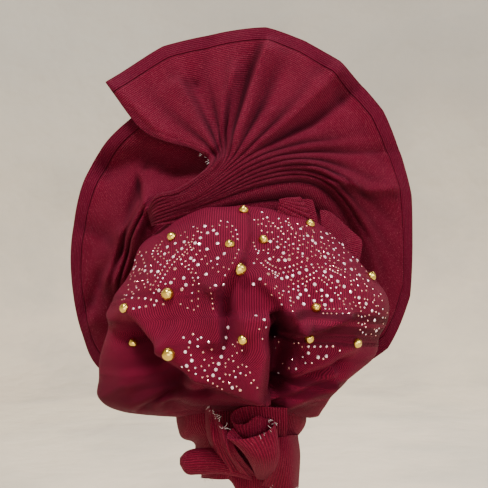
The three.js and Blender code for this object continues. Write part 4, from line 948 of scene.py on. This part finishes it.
def build_fan():
    """The main fan: pleats in pairs at the pinch, single ones further out, then open cloth to the hem."""
    u = even(FAN_PLEATS * FAN_COLUMNS_PER_PLEAT)
    hem_lines = np.linspace(FAN_HEM_FROM, 1, FAN_HEM_LINES)[1:]
    v = np.concatenate([np.linspace(0, FAN_HEM_FROM, FAN_LINES), hem_lines])
    base = surface(FAN_ROWS, FAN_PLACES, FAN_SHARES, u, v, HEM_SLACK)
    uu, vv = u[:, None], v[None, :]
    count = uu * FAN_PLEATS
    share = through(PLEAT_KEYS, PLEAT_SHARES, v)[None, :]
    parted = ease((vv - PAIRED_UNTIL) / PARTED_OVER)
    pairs = pleat_form(count / 2, PAIR_SOFTNESS)
    singles = pleat_form(count, ease((vv - SOFT_FROM) / SOFT_OVER))
    pleat = (pairs * (1 - parted) + singles * parted) * share * FAN_PLEAT_RISE
    slow = ripple(uu, vv, *FAN_RIPPLES) * ease((vv - FAN_RIPPLES_FROM) / RIPPLES_OVER)
    open_cloth = ease((vv - CREASES_FROM) / CREASES_OVER)
    creases = relief(FAN_CREASES, base[..., 0], base[..., 2], FAN_WIDTH, FAN_HEIGHT, FAN_DEPTH) * open_cloth
    grid = base.copy()
    turned = turned_edge(running_length(base, 0), **SIDE_EDGE)
    grid[..., 1] -= pleat + creases + slow + turned_edge(from_end(base), **HEM) + turned
    # Painted shade: in the hollows of the pleats and creases, and on the lee side of each pleat
    lee = lee_side(count / 2) * (1 - parted) + lee_side(count) * parted
    shade = np.maximum(hollows(pleat + FAN_CREASE_SHADE * creases, *FAN_HOLLOW_SHADE), lee * share * LEE_SHADE)
    return cloth("fan_cloth_sheet", grid, fan_cloth, weave_map(base, len(v) - 1), shade=shade)


def build_lobe():
    u, v = even(LOBE_COLUMNS), even(LOBE_LINES)
    base = surface(LOBE_ROWS, LOBE_PLACES, LOBE_SHARES, u, v)
    uu, vv = u[:, None], v[None, :]
    slow = ripple(uu, vv, *LOBE_RIPPLES) * ease((vv - LOBE_RIPPLES_FROM) / RIPPLES_OVER)
    creases = relief(LOBE_CREASES, base[..., 0], base[..., 2], FAN_WIDTH, FAN_HEIGHT, FAN_DEPTH)
    creases = creases * ease(vv / LOBE_CREASES_OVER)
    grid = base.copy()
    grid[..., 1] -= creases + slow + turned_edge(from_end(base), **HEM)
    # Painted shade in the hollows of the creases
    shade = hollows(LOBE_CREASE_SHADE * creases, *LOBE_HOLLOW_SHADE)
    return cloth("fan_left_lobe_sheet", grid, fan_cloth, weave_map(base, LOBE_LINES), shade=shade)


BROW_TAPER, BROW_LEAST, BROW_MOST = 0.2, 0.35, 0.65
BROW_DRIFT, BROW_DRIFT_OVER = ((0.10, 1.3, 0.6, 0.5), (0.06, 3.1, 1.1, 2.0)), 0.1
BROW_LIFT, BROW_SOFTNESS = 0.25, 0.25


def build_brow():
    """The stacked pleats of the face side, thinner towards the temples."""
    u, v = even(BROW_COLUMNS), even(BROW_LINES)
    turn = (BROW_TURN_START + (BROW_TURN_END - BROW_TURN_START) * u)[:, None]
    high = through(BROW_TOP["u"], BROW_TOP["level"], u)[:, None]
    level = BROW_LOW + (high - BROW_LOW) * v[None, :]
    turn = np.broadcast_to(turn, level.shape)
    ends = (ease(u / BROW_TAPER) * ease((1 - u) / BROW_TAPER))[:, None]
    uu, vv = u[:, None], v[None, :]
    drift = ripple(uu, vv, *BROW_DRIFT) * ease(vv / BROW_DRIFT_OVER) * ease((1 - vv) / BROW_DRIFT_OVER)
    form = BROW_LIFT + pleat_form(vv * BROW_PLEATS + drift, BROW_SOFTNESS)
    rise = CLOTH_WALL + CLEARANCE + form * BROW_PLEAT_RISE * (BROW_LEAST + BROW_MOST * ends)
    grid = ring_points(turn, level) + ring_normals(turn, level) * rise[..., None]
    return cloth("forehead_pleats_sheet", grid, plain_cloth, weave_map(grid, 0))


FLAP_COLUMNS, FLAP_LINES = 90, 36
FLAP_DRIFT, FLAP_SOFTNESS = (0.12, 0.4, 0.9, 0.6), 0.4


def build_flap(name, rows, pleats, rise):
    """A small flap of cloth with some pleats across it, which are deepest at its free end."""
    u, v = even(FLAP_COLUMNS), even(FLAP_LINES)
    grid = surface(rows, SHEET_PLACES, (CROWN_SHARE,) * 3, u, v)
    uu, vv = u[:, None], v[None, :]
    form = pleat_form(uu * pleats + ripple(uu, vv, FLAP_DRIFT), FLAP_SOFTNESS) * (0.5 + 0.5 * vv)
    grid = grid + normals_of(grid) * (form * rise)[..., None]
    # Painted shade in the grooves of the pleats
    return cloth(name, grid, plain_cloth, weave_map(grid, FLAP_LINES // 2),
                 shade=hollows(form * rise, *FLAP_HOLLOW_SHADE))


NAPE_COLUMNS, NAPE_LINES = 160, 60
SPLIT_FROM, SPLIT_OVER, SPLIT_LEAST, SPLIT_MORE = 0.12, 0.4, 0.45, 0.55
NAPE_FOLDS, NAPE_FOLDS_OVER = ((1.6, 1.4, 2.3, 0.4), (0.9, 3.7, 3.1, 1.9)), 0.25
NAPE_INSET = CLOTH_WALL * 1.5 + CLEARANCE


def build_nape():
    """The wrap round the nape, whose lower edge rises towards the left."""
    u, v = even(NAPE_COLUMNS), even(NAPE_LINES)
    read = {name: through(NAPE_ROWS["v"], NAPE_ROWS[name], v)[None, :] for name in NAPE_ROWS}
    turn = (-NAPE_TURN + 2 * NAPE_TURN * u)[:, None]
    sine, cosine = np.sin(turn), np.cos(turn)
    side = np.where(sine < 0, read["left"], read["right"]) * HEAD_WIDTH / 2 - NAPE_INSET
    back = read["back"] * NAPE_BACK - NAPE_INSET
    split = v[None, :] * ease((SPLIT_FROM - sine) / SPLIT_OVER)
    lift = split * NAPE_SPLIT * KNOT_HEIGHT * (SPLIT_LEAST + SPLIT_MORE * cosine)
    rim = ring_points(turn[:, 0], np.zeros(len(u)))[:, 2][:, None]
    rim_back = float(ring_points(np.array(0.0), np.array(0.0))[2])
    power = 2 / CROWN_SQUARENESS
    x = np.sign(sine) * np.abs(sine) ** power * side
    reach = np.abs(cosine) ** power
    y = np.where(cosine > 0, -reach * back, reach * HEAD_FRONT * CROWN_FRONT)
    z = rim_back + NAPE_TUCK + (rim - rim_back) * (1 - v[None, :]) - read["z"] * KNOT_HEIGHT + lift
    grid = np.stack(np.broadcast_arrays(x, y, z), axis=-1)
    folds = ripple(u[:, None], v[None, :], *NAPE_FOLDS) * ease(v / NAPE_FOLDS_OVER)[None, :]
    grid = grid + normals_of(grid) * folds[..., None]
    return cloth("nape_wrap_sheet", grid, knot_cloth, weave_map(grid, NAPE_LINES // 2))


def behind_nape(grid):
    """Turns depths that are measured behind the nape into places."""
    placed_grid = grid.copy()
    placed_grid[..., 1] = -NAPE_BACK - grid[..., 1]
    return placed_grid


def build_petal(name, rows, columns, lines, ripples=None):
    """A sheet of the knot."""
    u, v = even(columns), even(lines)
    grid = behind_nape(surface(rows, SHEET_PLACES, (KNOT_SHARE,) * 3, u, v))
    if ripples is not None:
        grid = grid + normals_of(grid) * ripples(u[:, None], v[None, :])[..., None]
    return cloth(name, grid, knot_cloth, weave_map(grid, lines // 2))


PETAL_CREASE_POWER, PETAL_CREASES_OVER = 1.5, 0.35


def petal_ripples(u, v):
    """Creases that run down the left sheet of the knot, deeper towards its foot."""
    crease = np.zeros(np.broadcast(u, v).shape)
    for at, drift, reach, rise in PETAL_CREASES:
        crease = crease + rise * fold_form(u - at - drift * v, reach, PETAL_CREASE_POWER)
    return crease * ease(v / PETAL_CREASES_OVER)


def build_roll(name, rows, columns, lines):
    """A rolled part of the knot: ovals that follow each other, open at both ends."""
    u, v = even(columns), even(lines)
    turn = (math.tau * u[:-1])[:, None]
    read = {key: through(rows["v"], rows[key], v)[None, :] for key in rows}
    x = (read["x"] + read["wide"] * np.sin(turn)) * KNOT_WIDTH
    y = (read["y"] + read["deep"] * np.cos(turn)) * KNOT_DEPTH
    z = (read["z"] + read["high"] * np.sin(turn) + read["lean"] * np.cos(turn)) * KNOT_HEIGHT
    grid = behind_nape(np.stack(np.broadcast_arrays(x, y, z), axis=-1))
    closed = np.concatenate([grid, grid[:1]])
    return cloth(name, grid, knot_cloth, weave_map(closed, lines // 2), ring=True)


# Trimmings
def tree_of(piece):
    """A search tree over the shown faces of a piece."""
    points = [tuple(v.co) for v in piece.data.vertices]
    return BVHTree.FromPolygons(points, [list(p.vertices) for p in piece.data.polygons])


def plain_piece(name, points, faces, material, slot, smooth):
    mesh = bpy.data.meshes.new(name)
    mesh.from_pydata([tuple(p) for p in points], [], faces)
    mesh.polygons.foreach_set("use_smooth", np.full(len(faces), smooth))
    mesh.materials.append(material)
    mesh.update()
    return show(name, mesh)


def frame_on(normal):
    """Two directions square to a normal."""
    side = Vector((0, 0, 1)).cross(normal)
    side = side.normalized() if side.length > 1e-3 else Vector((1, 0, 0))
    return side, normal.cross(side).normalized()


def spoke(side, up, i, sides, turned=0.0):
    """The direction of one of a ring's points."""
    turn = math.tau * i / sides + turned
    return side * math.cos(turn) + up * math.sin(turn)


def band_faces(bands, sides, start=0):
    """Quads between rings of points that follow each other, from a first index."""
    faces = []
    for j in range(bands):
        a, b = start + j * sides, start + (j + 1) * sides
        faces += [(a + i, a + (i + 1) % sides, b + (i + 1) % sides, b + i) for i in range(sides)]
    return faces


def dome_place(turn, polar):
    return Vector((math.cos(turn) * math.cos(polar), math.sin(turn) * math.cos(polar), math.sin(polar)))


STUD_SIDES, STUD_RINGS, STUD_SWELL = 28, 11, 1.06
DENT_COUNT, DENT_POLAR, DENT_REACH, DENT_DEPTH = 14, (0.15, 1.25), (0.25, 0.5), 0.04
STUD_FOOT, STUD_FOOT_DEPTH, STUD_LIFT, STUD_PROBE = 0.9, 1.2, 0.6, 0.4


def stud_mesh(at, normal, diameter, rng):
    """A domed stud with a beaten surface and a small foot."""
    side, up = frame_on(normal)
    radius, high = diameter / 2, diameter * STUD_RISE
    dents = [(dome_place(rng.uniform(0, math.tau), rng.uniform(*DENT_POLAR)), rng.uniform(*DENT_REACH))
             for _ in range(DENT_COUNT)]
    points = []
    for j in range(STUD_RINGS + 1):
        for i in range(STUD_SIDES):
            flat = dome_place(math.tau * i / STUD_SIDES, math.pi / 2 * j / STUD_RINGS)
            dent = sum(math.exp(-((flat - middle).length / reach) ** 2) * DENT_DEPTH
                       for middle, reach in dents)
            place = (side * flat.x + up * flat.y) * ((STUD_SWELL - dent) * radius)
            points.append(at + (place + normal * (flat.z * high * (1 - dent))) * MM)
    faces = band_faces(STUD_RINGS, STUD_SIDES)
    foot = len(points)
    for i in range(STUD_SIDES):
        place = spoke(side, up, i, STUD_SIDES) * radius * STUD_FOOT - normal * STUD_FOOT_DEPTH
        points.append(at + place * MM)
        n = (i + 1) % STUD_SIDES
        faces.append((foot + i, foot + n, n, i))
    faces.append(tuple(foot + i for i in reversed(range(STUD_SIDES))))
    return points, faces


def build_studs(tree, rng):
    """Seats each stud square to the cloth around it, and returns the places that are taken."""
    seats = []
    for k in range(len(STUDS["x"])):
        start = Vector((STUDS["x"][k] * CROWN_WIDTH * MM, -1.0, STUDS["z"][k] * CROWN_HEIGHT * MM))
        at, normal, _, _ = tree.ray_cast(start, Vector((0, 1, 0)))
        diameter = LARGE_STUD_DIAMETER if STUDS["large"][k] else STUD_DIAMETER
        around = [tree.find_nearest(at + d * diameter * STUD_PROBE * MM)[1] for d in frame_on(normal)]
        normal = (normal + around[0] + around[1]).normalized()
        if normal.y > 0:
            normal.negate()
        points, faces = stud_mesh(at + normal * STUD_LIFT * MM, normal, diameter, rng)
        name = "stud_%02d" % (k + 1)
        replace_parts(plain_piece(name + "_dome", points, faces, gold_metal, "gold_metal", True), name)
        seats.append((at, diameter / 2 * MM))
    return seats


STONE_SIDES = 8
# Rings of a cut stone, from its foot up to its table: width and height as shares of the radius
STONE_RINGS = ((1.0, 0.0), (1.0, 0.18), (0.55, 0.62))
STONE_UNEVEN, STONE_TILT, STONE_SPACING = (0.92, 1.08), (-0.12, 0.12), 1.02
ROW_PLACES, ROW_STAGGER, ROW_PROBE = (0, 0.5, 1), 0.5, 0.01


def stone_faces(at, normal, radius, turned):
    side, up = frame_on(normal)
    points = [at + spoke(side, up, i, STONE_SIDES, turned) * radius * ring + normal * radius * high
              for ring, high in STONE_RINGS for i in range(STONE_SIDES)]
    table_face = tuple(2 * STONE_SIDES + i for i in range(STONE_SIDES))
    return points, band_faces(2, STONE_SIDES) + [table_face]


def corners_of(rows, k, count):
    """The first places of a row, in millimetres."""
    return np.array([[rows["x%d" % j][k] * CROWN_WIDTH, rows["z%d" % j][k] * CROWN_HEIGHT]
                     for j in range(count)])


def stone_places():
    """Where the rows of stones are seen, with each stone's size and the room that it needs."""
    for k in range(len(STONE_ROWS["count"])):
        count, size, lines = (int(STONE_ROWS[name][k]) for name in ("count", "size", "lines"))
        corners = corners_of(STONE_ROWS, k, 3)
        for line in range(lines):
            shift = (line - (lines - 1) / 2) * STONE_LINE_GAP
            t = np.linspace(0, 1, count) + ROW_STAGGER * line / max(count - 1, 1)
            places, after, before = (through(ROW_PLACES, corners, t + off)
                                     for off in (0, ROW_PROBE, -ROW_PROBE))
            for (x, z), (dx, dz) in zip(places, unit(after - before)):
                yield x - dz * shift, z + dx * shift, size, 0.0


def field_places(rng):
    """Small stones that fill the fields unevenly, each clear of its neighbours."""
    for k in range(len(STONE_FIELDS["count"])):
        corners = corners_of(STONE_FIELDS, k, 4)
        for down in np.linspace(0, 1, int(STONE_FIELDS["lines"][k])):
            for over in np.linspace(0, 1, int(STONE_FIELDS["count"][k])):
                high = corners[0] * (1 - over) + corners[1] * over
                low = corners[3] * (1 - over) + corners[2] * over
                x, z = high * (1 - down) + low * down
                x = x + rng.uniform(-1, 1) * FIELD_UNEVEN
                z = z + rng.uniform(-1, 1) * FIELD_UNEVEN
                yield x, z, 0, FIELD_CLEAR


def build_stones(tree, taken, rng):
    """Sets each stone on the pouch where it is seen, unless its place is taken."""
    clear, copper = ([], []), ([], [])
    eye = Vector(SEEN_FROM) * MM
    for x, z, size, clear_of in [*stone_places(), *field_places(rng)]:
        aim = Vector((x, -CROWN_BACK, z)) * MM
        at, normal, _, _ = tree.ray_cast(eye, (aim - eye).normalized())
        radius = STONE_RADIUS[size] * rng.uniform(*STONE_UNEVEN) * MM
        if at is None:
            continue
        room = clear_of * MM
        if any((at - other).length < (radius + far) * STONE_SPACING + room for other, far in taken):
            continue
        taken.append((at, radius))
        if normal.dot(aim - eye) > 0:
            normal.negate()
        tilt = Vector([rng.uniform(*STONE_TILT) for _ in range(3)])
        points, faces = stone_faces(at, (normal + tilt).normalized(), radius, rng.uniform(0, math.tau))
        held = copper if rng.random() < COPPER_SHARE[size] else clear
        start = len(held[0])
        held[0].extend(points)
        held[1].extend([tuple(start + i for i in face) for face in faces])
    plain_piece("stones_clear", *clear, clear_crystal, "clear_crystal", False)
    plain_piece("stones_copper", *copper, copper_crystal, "copper_crystal", False)


THREAD_RADIUS, THREAD_SIDES, THREAD_STEPS = 0.18, 5, 6
# How a thread leaves the edge along X, Y and Z, how much it turns in all, and how long it is
THREAD_AHEAD, THREAD_TURN, THREAD_CURL = ((-1, 1), (-0.8, -0.1), (-1, 0.7)), (-0.5, 0.5), 0.5
THREAD_LENGTHS = (0.4, 1.0)


def edge_across(piece, lines, line, start, end):
    """Places along one line of a cloth piece's grid, between two shares of its columns."""
    verts = piece.data.vertices
    columns = len(verts) // lines
    return [verts[i * lines + line].co.copy() for i in range(int(start * columns), int(end * columns))]


def build_threads(edges, rng):
    """Loose cut threads that curl away from the raw edges of the cloth."""
    points, faces = [], []
    for line, count, longest in edges:
        for _ in range(count):
            at = rng.choice(line)
            ahead = Vector([rng.uniform(*reach) for reach in THREAD_AHEAD]).normalized()
            curl = Vector([rng.uniform(*THREAD_TURN) for _ in range(3)])
            step = rng.uniform(*THREAD_LENGTHS) * longest * MM / THREAD_STEPS
            start = len(points)
            for j in range(THREAD_STEPS + 1):
                side, up = frame_on(ahead)
                points += [at + spoke(side, up, i, THREAD_SIDES) * THREAD_RADIUS * MM
                           for i in range(THREAD_SIDES)]
                at = at + ahead * step
                ahead = (ahead + curl * THREAD_CURL).normalized()
            faces += band_faces(THREAD_STEPS, THREAD_SIDES, start)
            faces.append(tuple(start + i for i in reversed(range(THREAD_SIDES))))
            faces.append(tuple(start + THREAD_STEPS * THREAD_SIDES + i for i in range(THREAD_SIDES)))
    plain_piece("frayed_threads", points, faces, thread, "thread", True)


def drape(node_name, piece, flat, rests_on):
    """Shows a cloth piece in place of its solid; the size that it was cut to, in metres, is not used."""
    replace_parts(piece, node_name)
    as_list(rests_on)
    return piece


add_camera()
add_studio()
POUCH, NAPE = ["crown_cloth_shell"], ["nape_wrap_sheet"]
crown = drape("crown", build_crown(), (0.72, 0.42), NAPE)
drape("forehead_pleats", build_brow(), (0.34, 0.18), POUCH)
fan = drape("fan", build_fan(), (0.95, 0.32), POUCH)
drape("fan_left_lobe", build_lobe(), (0.45, 0.24), ["fan_cloth_sheet"])
# Small pleats and flaps: name, table, how many pleats, how far they rise, and flat size
for name, rows, pleats, rise, flat in (
    ("inner_pleats", INNER_PLEAT_ROWS, 6, 2.0, (0.05, 0.026)),
    ("inner_flap", INNER_FLAP_ROWS, 1.4, 1.2, (0.03, 0.026)),
    ("side_flap", SIDE_FLAP_ROWS, 2.3, 1.4, (0.06, 0.036)),
):
    drape(name, build_flap(name + "_sheet", rows, pleats, rise), flat, POUCH)
wrap = drape("nape_wrap", build_nape(), (0.30, 0.105), POUCH)
# Pieces of the knot: name, maker, table, columns, lines, creases, flat size, and what each rests on
knot = {}
for name, make, rows, columns, lines, creases, flat, under in (
    ("knot_petal_left", build_petal, LEFT_PETAL_ROWS, 110, 70, (petal_ripples,), (0.06, 0.075), NAPE),
    ("knot_petal_back", build_petal, BACK_PETAL_ROWS, 140, 50, (), (0.11, 0.065), NAPE),
    ("knot_band_right", build_petal, RIGHT_BAND_ROWS, 60, 50, (), (0.085, 0.075), NAPE),
    ("knot_roll", build_roll, FRONT_ROLL_ROWS, 90, 60, (), (0.08, 0.08), ["knot_petal_left_sheet"]),
    ("knot_loop_left", build_roll, LEFT_LOOP_ROWS, 70, 50, (), (0.075, 0.075), NAPE),
):
    knot[name] = drape(name, make(name + "_sheet", rows, columns, lines, *creases), flat, under)

SEED = 11
rng = random.Random(SEED)
pouch = tree_of(crown)
build_stones(pouch, build_studs(pouch, rng), rng)
# Raw edges: their places (a piece, how many points its columns have, which one, and from where to where
# across), how many threads each has, and the longest in millimetres
PINCH_POINTS = range(28, 38)
build_threads([
    (edge_across(knot["knot_petal_left"], 71, 0, 0.05, 0.95), 22, 7),
    (edge_across(knot["knot_roll"], 61, 0, 0.05, 0.5), 16, 6),
    (edge_across(wrap, NAPE_LINES + 1, NAPE_LINES, 0.1, 0.3), 12, 6),
    (edge_across(knot["knot_band_right"], 51, 50, 0.5, 0.95), 18, 7),
    ([fan.data.vertices[j].co.copy() for j in PINCH_POINTS], 10, 6),
], rng)
